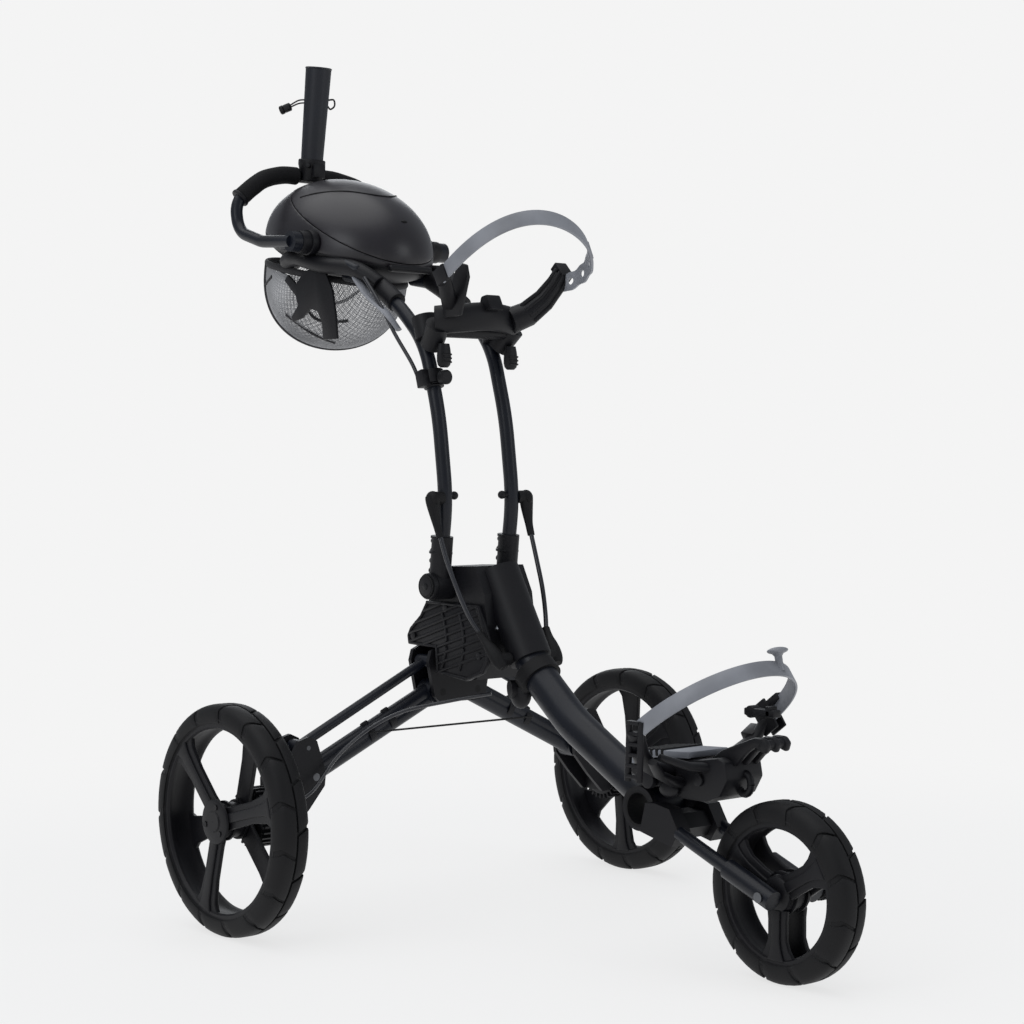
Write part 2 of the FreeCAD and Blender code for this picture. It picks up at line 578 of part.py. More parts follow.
spread = size("tube_spread")
lobe_start = at(spread - size("socket_wide") / 2, *UPPER_PIVOT)
lobe = cylinder("socket_lobe", 18.0, "sizes.socket_wide", lobe_start, ALONG_X)
sleeve = rod("socket_sleeve", 14.0, at(spread, *UPPER_PIVOT), at(spread, 67, 492))
bore = cylinder("socket_bore", "sizes.pivot_pin_radius + sizes.running_gap", "sizes.socket_wide",
                lobe_start, ALONG_X)
tube_shadow = swept("tube_shadow", upper_route(1), 400, "sizes.tube_radius")
right_socket = cut("tube_socket_right", fuse("socket_solid", [lobe, sleeve]), [bore, tube_shadow])
keep(right_socket, "tube_socket_right")
left_socket = doc.addObject("Part::Mirroring", "tube_socket_left")
left_socket.Source = right_socket
left_socket.Base = Vector(0, 0, 0)
left_socket.Normal = ALONG_X
keep(left_socket, "tube_socket_left")

# ---------------------------------------------------------------- fold cables with their boots
CABLE_TOP = (80.0, 76.0, 530.6)
CABLE_FOOT = (50.0, 164.0, 344.0)
cables = []
for side, sign in RIGHT_AND_LEFT:
    top = at(sign * CABLE_TOP[0], *CABLE_TOP[1:])
    foot = at(sign * CABLE_FOOT[0], *CABLE_FOOT[1:])
    bow = Vector(sign * 3, 5, 0)
    route = [top, top + (foot - top) * 0.3 + bow * 0.9, top + (foot - top) * 0.68 + bow, foot]
    cables.append(swept(f"fold_cable_{side}", route, 600, "sizes.cable_radius"))
keep(group("fold_cables", cables), "fold_cables")
boots = []
for side, sign in RIGHT_AND_LEFT:
    high = at(sign * 70, 75.5, 540)
    boots.append(cylinder(f"top_boot_{side}", 9.0, 14.0, high, ALONG_X * sign))
keep(group("cable_boots", boots), "cable_boots")

# ---------------------------------------------------------------- upper bag bracket and its strap
saddle = plate_across_x("saddle", [(20, 748), (48, 742), (88, 752), (114, 770), (114, 800), (94, 806),
                                   (40, 796), (14, 782)], 136.0, -68.0)
hollow = box("saddle_hollow", 72, 60, 90, at(-36, 0, 735))
fins = []
for side, sign in RIGHT_AND_LEFT:
    fins.append(rod(f"fin_{side}", 11.0, at(sign * 60, 98, 786), at(sign * 92, 114, 822)))
UPPER_STRAP = {"middle": (120.0, 838.0), "half_wide": 99.0, "reach": 136.0, "tilt": 26.0}
tube_shadows = [swept(f"saddle_shadow_{side}", upper_route(sign), 400, "sizes.tube_radius")
                for side, sign in RIGHT_AND_LEFT]
keep(cut("upper_bracket", fuse("upper_bracket_solid", [saddle] + fins), [hollow] + tube_shadows),
     "upper_bracket")
upper_loop = bag_strap("upper_loop", UPPER_STRAP["middle"], UPPER_STRAP["half_wide"],
                       UPPER_STRAP["reach"], UPPER_STRAP["tilt"])
keep(upper_loop, "upper_strap")

for side, sign in RIGHT_AND_LEFT:
    latch_tab = box(f"latch_tab_{side}", 20, 12, 26, at(sign * 57 - 10, 64, 714))
    latch_pin = cylinder(f"latch_pin_{side}", 3.0, 20.0, at(sign * 57 - 10, 70, 740), ALONG_X)
    keep(fuse(f"bracket_latch_{side}", [latch_tab, latch_pin]), f"bracket_latch_{side}")

clamp_middle = at(size("tube_spread"), 45, 700)
clamp_along = (at(0, 32, 745) - at(0, 60, 648)).normalize()
clamp_solid = cylinder("clamp_solid", 16.0, 20.0, clamp_middle - clamp_along * 10, clamp_along)
clamp_shadow = swept("clamp_shadow", upper_route(1), 400, "sizes.tube_radius")
keep(cut("tube_clamp", clamp_solid, [clamp_shadow]), "tube_clamp")
KNOB_OUT = 20.5
keep(cylinder("clamp_knob", 10.0, 12.0, clamp_middle + ALONG_Y * KNOB_OUT, ALONG_Y), "clamp_knob")

# ---------------------------------------------------------------- console base, lid and net pouch
POD_MIDDLE = (-215.0, 892.0)
POD_TILT = -15.6
pod_lean = Rotation(ALONG_X, POD_TILT)
pod_middle = at(0, *POD_MIDDLE)
SEAM_GAP = 0.8


def ellipsoid(name, high, inset):
    """Half-axes: width along X, length along the pod, and the given height."""
    obj = bind(doc.addObject("Part::Ellipsoid", name), Radius1=f"{high} - {inset}",
               Radius2=f"sizes.pod_half_wide - {inset}", Radius3=f"sizes.pod_half_long - {inset}")
    obj.Angle1 = -90
    obj.Angle2 = 90
    obj.Angle3 = 360
    obj.Placement = Placement(pod_middle, pod_lean)
    return obj


def half_space(name, start):
    """A slab as deep as the pod that starts at a height above the seam."""
    obj = box(name, 300, 340, 120, Vector(0, 0, 0))
    low = Vector(-150, -170, start)
    obj.Placement = Placement(pod_middle + pod_lean.multVec(low), pod_lean)
    return obj


def common(name, one, other):
    obj = doc.addObject("Part::Common", name)
    obj.Base = one
    obj.Tool = other
    return obj


def dome_shell(name, start):
    """The hollow dome from a height above the seam."""
    dome = common(name + "_dome", ellipsoid(name + "_outside", "sizes.lid_high", "0"),
                  half_space(name + "_above", start))
    return cut(name + "_shell", dome, [ellipsoid(name + "_inside", "sizes.lid_high", "sizes.shell_wall")])


LID_FRONT = (-77.0, 860.0)
LID_SLOPE = Rotation(ALONG_X, -30.4)
LID_LONG = 240.0
LID_GAP = 1.2


def lid_space(name, gap):
    """The room above the sloping plane that the lid's edge lies in, enlarged by a gap."""
    obj = box(name, 300, LID_LONG + 60 + gap, 200, Vector(0, 0, 0))
    low = Vector(-150, -LID_LONG - gap, -gap)
    obj.Placement = Placement(at(0, *LID_FRONT) + LID_SLOPE.multVec(low), LID_SLOPE)
    return obj


LID_PIN = Vector(0, 7.5, 1.5)
lid_dome = common("lid_dome_part", dome_shell("lid", SEAM_GAP), lid_space("lid_room", 0))
lid_tongue = box("lid_tongue", 50, 15.5, 3, Vector(0, 0, 0))
lid_tongue.Placement = Placement(at(0, *LID_FRONT) + LID_SLOPE.multVec(Vector(-25, -8, 0.2)), LID_SLOPE)
lid_pin = cylinder("lid_pin", 3.0, 50.0, at(-25, *LID_FRONT) + LID_SLOPE.multVec(LID_PIN), ALONG_X)
keep(fuse("console_lid", [lid_dome, lid_tongue, lid_pin]), "console_lid")
rim_panel = cut("rim_panel", dome_shell("rim", SEAM_GAP / 2), [lid_space("rim_room", LID_GAP)])
base_bowl = common("base_bowl", ellipsoid("base_outside", "sizes.base_deep", "0"),
                   half_space("below_seam", -120 + SEAM_GAP / 2))
base_shell = cut("base_shell", base_bowl, [ellipsoid("base_inside", "sizes.base_deep", "sizes.shell_wall")])
base_tubes = [swept(f"base_shadow_{side}", upper_route(sign), 400, "sizes.tube_radius + 0.1")
              for side, sign in RIGHT_AND_LEFT]
HANDLE_HINGE = (-168.0, 889.0)
HINGE_DISC_X = 107.0
LEVER_HINGE = (84.0, -118.0, 860.0)
lugs = []
for side, sign in RIGHT_AND_LEFT:
    lugs.append(cylinder(f"hinge_disc_{side}", 16.0, 12.7, at(sign * HINGE_DISC_X, *HANDLE_HINGE), ALONG_X * sign))
    lugs.append(rod(f"hinge_arm_{side}", 7.0, at(sign * 74, -168, 858), at(sign * (HINGE_DISC_X + 3), -168, 875)))
lever_lug = rod("lever_lug", 5.0, at(58, -122, 854), at(LEVER_HINGE[0] - 7.5, *LEVER_HINGE[1:]))
base_solid = fuse("base_solid", [base_shell, lever_lug] + lugs)
keep(group("console_base", [cut("base_bowl_cut", base_solid, base_tubes), rim_panel]), "console_base")

NET_MIDDLE = at(0, -245, 858)
NET_TILT = Rotation(ALONG_X, -12)


def net_bowl(name, inset):
    """Half-axes of the pouch, less an inset on every side."""
    obj = bind(doc.addObject("Part::Ellipsoid", name), Radius1=f"sizes.net_deep - {inset}",
               Radius2=f"sizes.net_half_wide - {inset}", Radius3=f"sizes.net_half_long - {inset}")
    obj.Angle1 = -90
    obj.Angle2 = 90
    obj.Angle3 = 360
    obj.Placement = Placement(NET_MIDDLE, NET_TILT)
    return obj


below_rim = box("below_rim", 240, 280, 130, Vector(0, 0, 0))
below_rim.Placement = Placement(NET_MIDDLE + NET_TILT.multVec(Vector(-120, -140, -130)), NET_TILT)
net_outside = common("net_outside", net_bowl("net_outer_bowl", "0"), below_rim)
net_shell = cut("net_shell", net_outside, [net_bowl("net_inner_bowl", "sizes.shell_wall")])

STAY_OUTLINE = [(-300, 838), (-262, 826), (-242, 838), (-224, 834), (-214, 784), (-230, 784), (-242, 808),
                (-270, 796), (-286, 802), (-282, 822)]
keep(group("net_pouch", [net_shell, plate_across_x("net_stay", STAY_OUTLINE, 5.0, 28.0)]), "net_pouch")

# ---------------------------------------------------------------- handle, grips and umbrella tube
HANDLE_X = 131.0


def handle_route():
    side_points = [(HANDLE_X, -168, 889), (HANDLE_X, -238, 894), (HANDLE_X, -296, 912), (130, -306, 956),
                   (96, -300, 985), (45, -313, 1000)]
    right_half = [at(*place) for place in side_points]
    left_half = [at(-x, y, z) for x, y, z in reversed(side_points)]
    return right_half + left_half


handle_solid = swept("handle_outside", handle_route(), 60, "sizes.handle_radius")
handle_eyes = [cylinder(f"handle_eye_{side}", 14.0, 14.0,
                        at(sign * 120, *HANDLE_HINGE), ALONG_X * sign) for side, sign in RIGHT_AND_LEFT]
keep(fuse("handle_tube", [handle_solid] + handle_eyes), "handle_tube")

GRIP_RUN = [(30, -313.6, 1000.4), (45, -312.6, 1000), (94, -300.4, 986)]
grips = []
for side, sign in RIGHT_AND_LEFT:
    run = [at(sign * x, y, z) for x, y, z in GRIP_RUN]
    foam = swept(f"foam_{side}", run, 400, "sizes.grip_radius")
    handle_shadow = copy_of(f"handle_shadow_{side}", handle_solid)
    grips.append(cut(f"grip_{side}", foam, [handle_shadow]))
keep(group("handle_grips", grips), "handle_grips")

UMBRELLA_FOOT = (-303.0, 1024.0)
UMBRELLA_ALONG = Vector(0, 17, 130).normalize()
foot = at(0, *UMBRELLA_FOOT)
tube_solid = bind(doc.addObject("Part::Cone", "umbrella_solid"), Radius1="sizes.umbrella_foot",
                  Radius2="sizes.umbrella_top", Height="sizes.umbrella_long")
tube_solid.Placement = Placement(foot, Rotation(Vector(0, 0, 1), UMBRELLA_ALONG))
tube_bore = cylinder("umbrella_hole", "sizes.umbrella_bore", "sizes.umbrella_deep",
                     foot + UMBRELLA_ALONG * (size("umbrella_long") - size("umbrella_deep")), UMBRELLA_ALONG)
keep(cut("umbrella_tube", tube_solid, [tube_bore]), "umbrella_tube")
COLLAR_TALL = 30.0
collar_solid = cylinder("collar_solid", 20.0, COLLAR_TALL, foot - UMBRELLA_ALONG * COLLAR_TALL,
                        UMBRELLA_ALONG)
keep(cut("umbrella_collar", collar_solid, [copy_of("collar_shadow", handle_solid)]), "umbrella_collar")

cord_height = foot + UMBRELLA_ALONG * 84
cord_lock = cylinder("cord_lock", 6.0, 15.0, cord_height + Vector(24, -30, -6), Vector(0.6, -0.7, -0.35))
keep(cord_lock, "cord_lock")

# ---------------------------------------------------------------- brake lever, cables and stay wires
lever_bar = cylinder("lever_bar", 6.5, 40.0, at(*LEVER_HINGE), Vector(0, 0.97, -0.25))
lever_eye = cylinder("lever_eye", 7.0, 10.0, at(LEVER_HINGE[0] - 4.5, *LEVER_HINGE[1:]), ALONG_X)
keep(fuse("brake_lever", [lever_bar, lever_eye]), "brake_lever")

LEVER_CABLE = [at(84, -66, 836), at(83, -34, 800), at(80, -4, 758), at(76, 24, 722), at(75, 36, 704)]
keep(swept("lever_cable", LEVER_CABLE, 60, "sizes.cable_radius"), "lever_cable")

BRAKE_ROUTE = [at(24, 126, 290), at(62, 88, 280), at(106, 46, 266), at(150, 28, 244), at(200, 30, 214),
               at(246, 40, 176), at(276, 34, 160)]
keep(swept("brake_cable", BRAKE_ROUTE, 80, "sizes.cable_radius"), "brake_cable")
keep(rod("stay_wire", "sizes.wire_radius", at(24, 208, 268), at(146, 26, 240)), "stay_wire")

# ---------------------------------------------------------------- checks and files
doc.recompute()
for obj in doc.Objects:
    if "Invalid" in obj.State or "Error" in obj.State:
        raise RuntimeError(f"{obj.Name} failed: {obj.State}")
os.makedirs("parts", exist_ok=True)
for obj in subparts:
    if obj.Shape.isNull() or not obj.Shape.isValid() or not obj.Shape.Solids:
        raise RuntimeError(f"{obj.Label} has no valid solid")
    obj.Shape.exportStep(f"parts/{obj.Label}.step")
whole = FreeCAD.BoundBox()
for obj in subparts:
    whole.add(obj.Shape.BoundBox)
print(len(subparts), "sub-parts", whole)
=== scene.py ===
"""The looks of a folding golf push cart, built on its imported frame."""
import math

import bmesh
import bpy
from mathutils import Matrix, Vector


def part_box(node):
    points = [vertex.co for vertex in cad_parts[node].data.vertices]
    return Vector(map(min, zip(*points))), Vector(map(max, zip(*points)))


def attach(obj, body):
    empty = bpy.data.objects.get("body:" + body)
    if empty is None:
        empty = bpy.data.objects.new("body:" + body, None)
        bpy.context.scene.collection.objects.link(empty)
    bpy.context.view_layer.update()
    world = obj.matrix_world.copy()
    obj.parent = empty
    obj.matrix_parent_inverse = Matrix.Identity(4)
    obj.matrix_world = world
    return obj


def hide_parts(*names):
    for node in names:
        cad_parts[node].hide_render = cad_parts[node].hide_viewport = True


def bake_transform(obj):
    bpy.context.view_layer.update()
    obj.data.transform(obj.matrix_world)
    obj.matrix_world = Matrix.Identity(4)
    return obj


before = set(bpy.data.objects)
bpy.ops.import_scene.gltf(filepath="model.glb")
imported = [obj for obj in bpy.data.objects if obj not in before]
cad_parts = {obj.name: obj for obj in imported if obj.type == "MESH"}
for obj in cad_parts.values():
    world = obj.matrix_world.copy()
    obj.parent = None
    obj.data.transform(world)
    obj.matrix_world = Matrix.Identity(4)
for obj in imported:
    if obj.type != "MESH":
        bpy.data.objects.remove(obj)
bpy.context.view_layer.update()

# ---------------------------------------------------------------- room, lights and camera
# A pale floor fades into a pale backdrop of the same tone. A wide glow from the ceiling and large
# soft panels at the sides give the black tubes and mouldings their long, soft highlights.
MM = 0.001
RIGHT_AND_LEFT = (("right", 1), ("left", -1))
AXLE_Y = (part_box("tyre_right")[0][1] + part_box("tyre_right")[1][1]) / 2
LENS = 76.15
HEADING = math.radians(49.25)
DIP = math.radians(1.48)


def at(x, y, z):
    """A place in metres, from millimetres counted from the rear axle line on the ground."""
    return Vector((x * MM, AXLE_Y + y * MM, z * MM))


camera = bpy.data.objects.new("camera", bpy.data.cameras.new("camera"))
camera.data.lens = LENS
camera.location = at(1829.8, 2262.8, 597.5)
facing = Vector((-math.cos(HEADING) * math.cos(DIP), -math.sin(HEADING) * math.cos(DIP), -math.sin(DIP)))
camera.rotation_euler = facing.to_track_quat("-Z", "Y").to_euler()
bpy.context.collection.objects.link(camera)
bpy.context.scene.camera = camera

world = bpy.data.worlds.new("pale_room")
world.use_nodes = True
BACKDROP = (0.905, 0.905, 0.905, 1)
ROOM_DIM = 0.34
backdrop = world.node_tree.nodes["Background"]
backdrop.inputs["Color"].default_value = BACKDROP
room = world.node_tree.nodes.new("ShaderNodeBackground")
room.inputs["Color"].default_value = (0.90, 0.94, 1.0, 1)
room.inputs["Strength"].default_value = ROOM_DIM
seen = world.node_tree.nodes.new("ShaderNodeLightPath")
chosen = world.node_tree.nodes.new("ShaderNodeMixShader")
world.node_tree.links.new(seen.outputs["Is Camera Ray"], chosen.inputs[0])
world.node_tree.links.new(room.outputs["Background"], chosen.inputs[1])
world.node_tree.links.new(backdrop.outputs["Background"], chosen.inputs[2])
world.node_tree.links.new(chosen.outputs["Shader"], world.node_tree.nodes["World Output"].inputs["Surface"])
bpy.context.scene.world = world
bpy.context.scene.view_settings.view_transform = "Standard"


def panel(name, place, aim, width, power):
    """A square soft light."""
    light = bpy.data.lights.new(name, "AREA")
    light.size = width
    light.energy = power
    light.color = (0.95, 0.975, 1.0)
    holder = bpy.data.objects.new(name, light)
    holder.location = place
    holder.rotation_euler = (aim - place).to_track_quat("-Z", "Y").to_euler()
    bpy.context.collection.objects.link(holder)


CART_MIDDLE = Vector((0, 0, 0.5))
GLOW_SPREAD = math.radians(70)
GLOW_POWER = 1.35
FADE_START = 0.75
FADE_END = 1.7
LEAST_FADE = 0.80
panel("near_panel", Vector((3.0, 0.4, 2.0)), CART_MIDDLE, 1.4, 16)
panel("front_panel", Vector((-1.6, 3.2, 1.8)), CART_MIDDLE, 1.4, 12)
panel("back_panel", Vector((-1.8, -2.8, 1.9)), CART_MIDDLE, 1.6, 16)
sky = bpy.data.lights.new("ceiling_glow", "SUN")
sky.angle = GLOW_SPREAD
sky.energy = GLOW_POWER
ceiling = bpy.data.objects.new("ceiling_glow", sky)
ceiling.rotation_euler = (math.radians(8), math.radians(10), 0)
bpy.context.collection.objects.link(ceiling)

floor_mesh = bpy.data.meshes.new("floor")
floor_mesh.from_pydata([(-40, -40, 0), (40, -40, 0), (40, 40, 0), (-40, 40, 0)], [], [(0, 1, 2, 3)])
floor = bpy.data.objects.new("floor", floor_mesh)
bpy.context.collection.objects.link(floor)
floor_finish = bpy.data.materials.new("pale_floor")
floor_finish.use_nodes = True
floor_shader = floor_finish.node_tree.nodes["Principled BSDF"]
floor_shader.inputs["Base Color"].default_value = (0.9, 0.9, 0.9, 1)
floor_shader.inputs["Roughness"].default_value = 0.9
floor_shader.inputs["Specular IOR Level"].default_value = 0.0
floor_nodes = floor_finish.node_tree.nodes
floor_link = floor_finish.node_tree.links.new
floor_place = floor_nodes.new("ShaderNodeTexCoord")
floor_reach = floor_nodes.new("ShaderNodeVectorMath")
floor_reach.operation = "LENGTH"
floor_fade = floor_nodes.new("ShaderNodeMapRange")
floor_fade.interpolation_type = "SMOOTHSTEP"
floor_fade.inputs["From Min"].default_value = FADE_START
floor_fade.inputs["From Max"].default_value = FADE_END
floor_fade.inputs["To Min"].default_value = LEAST_FADE
floor_far = floor_nodes.new("ShaderNodeEmission")
floor_far.inputs["Color"].default_value = BACKDROP
floor_mix = floor_nodes.new("ShaderNodeMixShader")
floor_link(floor_place.outputs["Object"], floor_reach.inputs[0])
floor_link(floor_reach.outputs["Value"], floor_fade.inputs["Value"])
floor_link(floor_fade.outputs["Result"], floor_mix.inputs[0])
floor_link(floor_shader.outputs["BSDF"], floor_mix.inputs[1])
floor_link(floor_far.outputs["Emission"], floor_mix.inputs[2])
floor_link(floor_mix.outputs["Shader"], floor_nodes["Material Output"].inputs["Surface"])
floor_mesh.materials.append(floor_finish)

# ---------------------------------------------------------------- main tube
# The spine is a curved alloy tube, painted satin black with a slight blue cast and a fine
# orange-peel surface. The ring welded to its front end carries the fork.


def finish(name, colour, rough, grain, depth, cells=False, fixed=()):
    """A surface whose colour and gloss drift slightly, with a fine grain or cells pressed into it."""
    material = bpy.data.materials.new(name)
    material.use_nodes = True
    nodes = material.node_tree.nodes
    link = material.node_tree.links.new
    surface = nodes["Principled BSDF"]
    for socket, value in fixed:
        surface.inputs[socket].default_value = value
    place = nodes.new("ShaderNodeTexCoord")
    drift = nodes.new("ShaderNodeTexNoise")
    drift.inputs["Scale"].default_value = 18
    drift.inputs["Detail"].default_value = 4
    link(place.outputs["Object"], drift.inputs["Vector"])
    shade = nodes.new("ShaderNodeValToRGB")
    shade.color_ramp.elements[0].position = 0.3
    shade.color_ramp.elements[0].color = (*[part * 0.8 for part in colour], 1)
    shade.color_ramp.elements[1].position = 0.7
    shade.color_ramp.elements[1].color = (*[part * 1.2 for part in colour], 1)
    link(drift.outputs["Fac"], shade.inputs["Fac"])
    link(shade.outputs["Color"], surface.inputs["Base Color"])
    gloss = nodes.new("ShaderNodeMapRange")
    gloss.inputs["To Min"].default_value = rough - 0.05
    gloss.inputs["To Max"].default_value = rough + 0.07
    link(drift.outputs["Fac"], gloss.inputs["Value"])
    link(gloss.outputs["Result"], surface.inputs["Roughness"])
    if cells:
        texture = nodes.new("ShaderNodeTexVoronoi")
        height = texture.outputs["Distance"]
    else:
        texture = nodes.new("ShaderNodeTexNoise")
        texture.inputs["Detail"].default_value = 2
        height = texture.outputs["Fac"]
    texture.inputs["Scale"].default_value = 1 / grain
    link(place.outputs["Object"], texture.inputs["Vector"])
    bump = nodes.new("ShaderNodeBump")
    bump.inputs["Strength"].default_value = 0.6
    bump.inputs["Distance"].default_value = depth
    link(height, bump.inputs["Height"])
    link(bump.outputs["Normal"], surface.inputs["Normal"])
    return material


def dress(material, *nodes):
    """Give packed sub-parts their finish."""
    for name in nodes:
        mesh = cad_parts[name].data
        mesh.materials.clear()
        mesh.materials.append(material)


painted_alloy = finish("painted_alloy", (0.0045, 0.006, 0.011), 0.36, 0.0016, 0.00012,
                       fixed=(("Specular IOR Level", 0.3), ("Coat Weight", 0.06), ("Coat Roughness", 0.25)))
dress(painted_alloy, "main_tube")

# ---------------------------------------------------------------- hub casting and ribbed plates
# The hub is a glass-filled nylon moulding clamped on the spine's top end. A plate on each side is
# stiffened by a raised border and slanted ribs, moulded in one with it and held by screws.
moulded_nylon = finish("moulded_nylon", (0.0045, 0.0045, 0.0065), 0.48, 0.0009, 0.00010,
                       fixed=(("Specular IOR Level", 0.28),))
UPPER_PIVOT = (60.0, 428.0)
PLATE_OUTLINE = [(20, 406), (6, 386), (-16, 368), (-22, 358), (-20, 348), (40, 346), (42, 312), (104, 306),
                 (136, 318), (148, 336), (147, 362), (126, 405)]
PLATE_INNER_X = 41.0
PLATE_OUTER_X = 46.0
RIB_PROUD = 2.6
RIB_SLOPE = 0.31


def bar(shell, points, radii, sides=20, flat=1.0, up=Vector((0, 0, 1))):
    """A closed bar through places in metres, with a radius in millimetres at each place."""
    rings = []
    for number, point in enumerate(points):
        ahead = points[min(number + 1, len(points) - 1)] - points[max(number - 1, 0)]
        along = ahead.normalized()
        across = along.cross(up)
        if across.length < 0.05:
            across = along.cross(Vector((0, 1, 0)))
        across.normalize()
        over = across.cross(along)
        radius = radii[min(number, len(radii) - 1)] * MM
        ring = []
        for step in range(sides):
            turn = 2 * math.pi * step / sides
            place = point + across * (math.cos(turn) * radius) + over * (math.sin(turn) * radius * flat)
            ring.append(shell.verts.new(place))
        rings.append(ring)
    for one, other in zip(rings, rings[1:]):
        for step in range(sides):
            nxt = (step + 1) % sides
            shell.faces.new((one[step], one[nxt], other[nxt], other[step]))
    shell.faces.new(list(reversed(rings[0])))
    shell.faces.new(rings[-1])


def slab(shell, outline, low_x, high_x):
    """A plate across X with a (y, z) outline in millimetres."""
    low = [shell.verts.new(at(low_x, y, z)) for y, z in outline]
    high = [shell.verts.new(at(high_x, y, z)) for y, z in outline]
    shell.faces.new(list(reversed(low)))
    shell.faces.new(high)
    for number in range(len(outline)):
        shell.faces.new((low[number - 1], low[number], high[number], high[number - 1]))


def block(shell, middle, sizes, turn=Matrix()):
    """A box about a place in metres, with its sizes in millimetres."""
    scale = Matrix.Diagonal((sizes[0] * MM, sizes[1] * MM, sizes[2] * MM, 1))
    bmesh.ops.create_cube(shell, size=1, matrix=Matrix.Translation(middle) @ turn @ scale)


def ball(shell, middle, radii, turn=Matrix(), around=20):
    """An ellipsoid about a place in metres, with its half-axes in millimetres."""
    scale = Matrix.Diagonal((radii[0] * MM, radii[1] * MM, radii[2] * MM, 1))
    bmesh.ops.create_uvsphere(shell, u_segments=around, v_segments=around // 2, radius=1,
                              matrix=Matrix.Translation(middle) @ turn @ scale)


def disc(shell, middle, radius, thick, along=Vector((1, 0, 0)), sides=32):
    """A short round boss from a place, along a direction."""
    bar(shell, [middle, middle + along.normalized() * thick * MM], [radius, radius], sides)


def plain(piece):
    """Swap a piece's mesh for what its modifiers make of it."""
    mesh = bpy.data.meshes.new_from_object(piece.evaluated_get(bpy.context.evaluated_depsgraph_get()))
    piece.modifiers.clear()
    piece.data = mesh
    mesh.shade_smooth()
    mesh.set_sharp_from_angle(angle=math.radians(34))


def started(name, shell):
    """Turn a built shell into an object."""
    bmesh.ops.recalc_face_normals(shell, faces=shell.faces)
    mesh = bpy.data.meshes.new(name)
    shell.to_mesh(mesh)
    shell.free()
    piece = bpy.data.objects.new(name, mesh)
    bpy.context.collection.objects.link(piece)
    return piece


def fitted(piece, material, body, edge=0.0, replaces=()):
    """Break the edges, put the finish on and fix the piece to its body."""
    if edge:
        soften = piece.modifiers.new("broken_edges", "BEVEL")
        soften.width = edge * MM
        soften.segments = 2
        soften.limit_method = "ANGLE"
        soften.angle_limit = math.radians(38)
    plain(piece)
    piece.data.materials.clear()
    piece.data.materials.append(material)
    if body:
        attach(piece, body)
    if replaces:
        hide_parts(*replaces)
    return piece


def span_inside(outline, rise, slope):
    """Where a sloping line enters and leaves an outline, as two y values."""
    crossings = []
    for (y0, z0), (y1, z1) in zip(outline, outline[1:] + outline[:1]):
        gap0 = z0 - rise - slope * y0
        gap1 = z1 - rise - slope * y1
        if gap0 * gap1 < 0:
            crossings.append(y0 + (y1 - y0) * gap0 / (gap0 - gap1))
    return min(crossings), max(crossings)


for side, sign in RIGHT_AND_LEFT:
    plate = bmesh.new()
    slab(plate, PLATE_OUTLINE, sign * PLATE_INNER_X, sign * PLATE_OUTER_X)
    edge_path = [at(sign * PLATE_OUTER_X, y, z) for y, z in PLATE_OUTLINE + PLATE_OUTLINE[:1]]
    for start, end in zip(edge_path, edge_path[1:]):
        inward = (at(sign * PLATE_OUTER_X, 62, 360) - (start + end) / 2) * 0.04
        bar(plate, [start + inward, end + inward], [2.4], 8)
    for number in range(9):
        rise = 300 + number * 11
        y_in, y_out = span_inside(PLATE_OUTLINE, rise, RIB_SLOPE)
        if y_out - y_in > 26:
            ends = [at(sign * PLATE_OUTER_X, y, rise + RIB_SLOPE * y) for y in (y_in + 4, y_out - 4)]
            bar(plate, ends, [RIB_PROUD], 8)
    for middle_y in (52, 88):
        bow_x = sign * (PLATE_OUTER_X + 0.4)
        bow = [at(bow_x, middle_y + 10 * math.sin(math.pi * step / 8), 318 + step * 9.5)
               for step in range(9)]
        bar(plate, bow, [2.2], 8)
    for y, z in ((-8, 358), (128, 340), (60, 398)):
        disc(plate, at(sign * PLATE_OUTER_X, y, z), 5.0, 2.2, Vector((sign, 0, 0)), 16)
    fitted(started(f"hub_side_plate_{side}", plate), moulded_nylon, "chassis", 0.7,
           [f"hub_plate_{side}"])
dress(moulded_nylon, "hub_casting", "leg_bracket")

# ---------------------------------------------------------------- trim on the hub
# Small features are moulded on the hub's sleeve: a row of teeth on its upper edge, two screw heads
# in their seats, a rounded lug beneath it and the dark collar ring at its mouth.
steel = finish("zinc_steel", (0.13, 0.135, 0.145), 0.30, 0.0006, 0.00003, fixed=(("Metallic", 1.0),))
SLEEVE_ALONG = Vector((0, 72, -59)).normalized()


def new_tree(name, inputs):
    """An empty node tree with named inputs."""
    tree = bpy.data.node_groups.new(name, "GeometryNodeTree")
    tree.interface.new_socket("Geometry", in_out="INPUT", socket_type="NodeSocketGeometry")
    for label, kind in inputs:
        tree.interface.new_socket(label, in_out="INPUT", socket_type=kind)
    tree.interface.new_socket("Geometry", in_out="OUTPUT", socket_type="NodeSocketGeometry")
    return tree


def finish_tree(tree, inlet, geometry):
    """End a tree in real, finished geometry."""
    real = tree.nodes.new("GeometryNodeRealizeInstances")
    coat = tree.nodes.new("GeometryNodeSetMaterial")
    outlet = tree.nodes.new("NodeGroupOutput")
    tree.links.new(geometry, real.inputs["Geometry"])
    tree.links.new(real.outputs["Geometry"], coat.inputs["Geometry"])
    tree.links.new(inlet.outputs["Material"], coat.inputs["Material"])
    tree.links.new(coat.outputs["Geometry"], outlet.inputs["Geometry"])


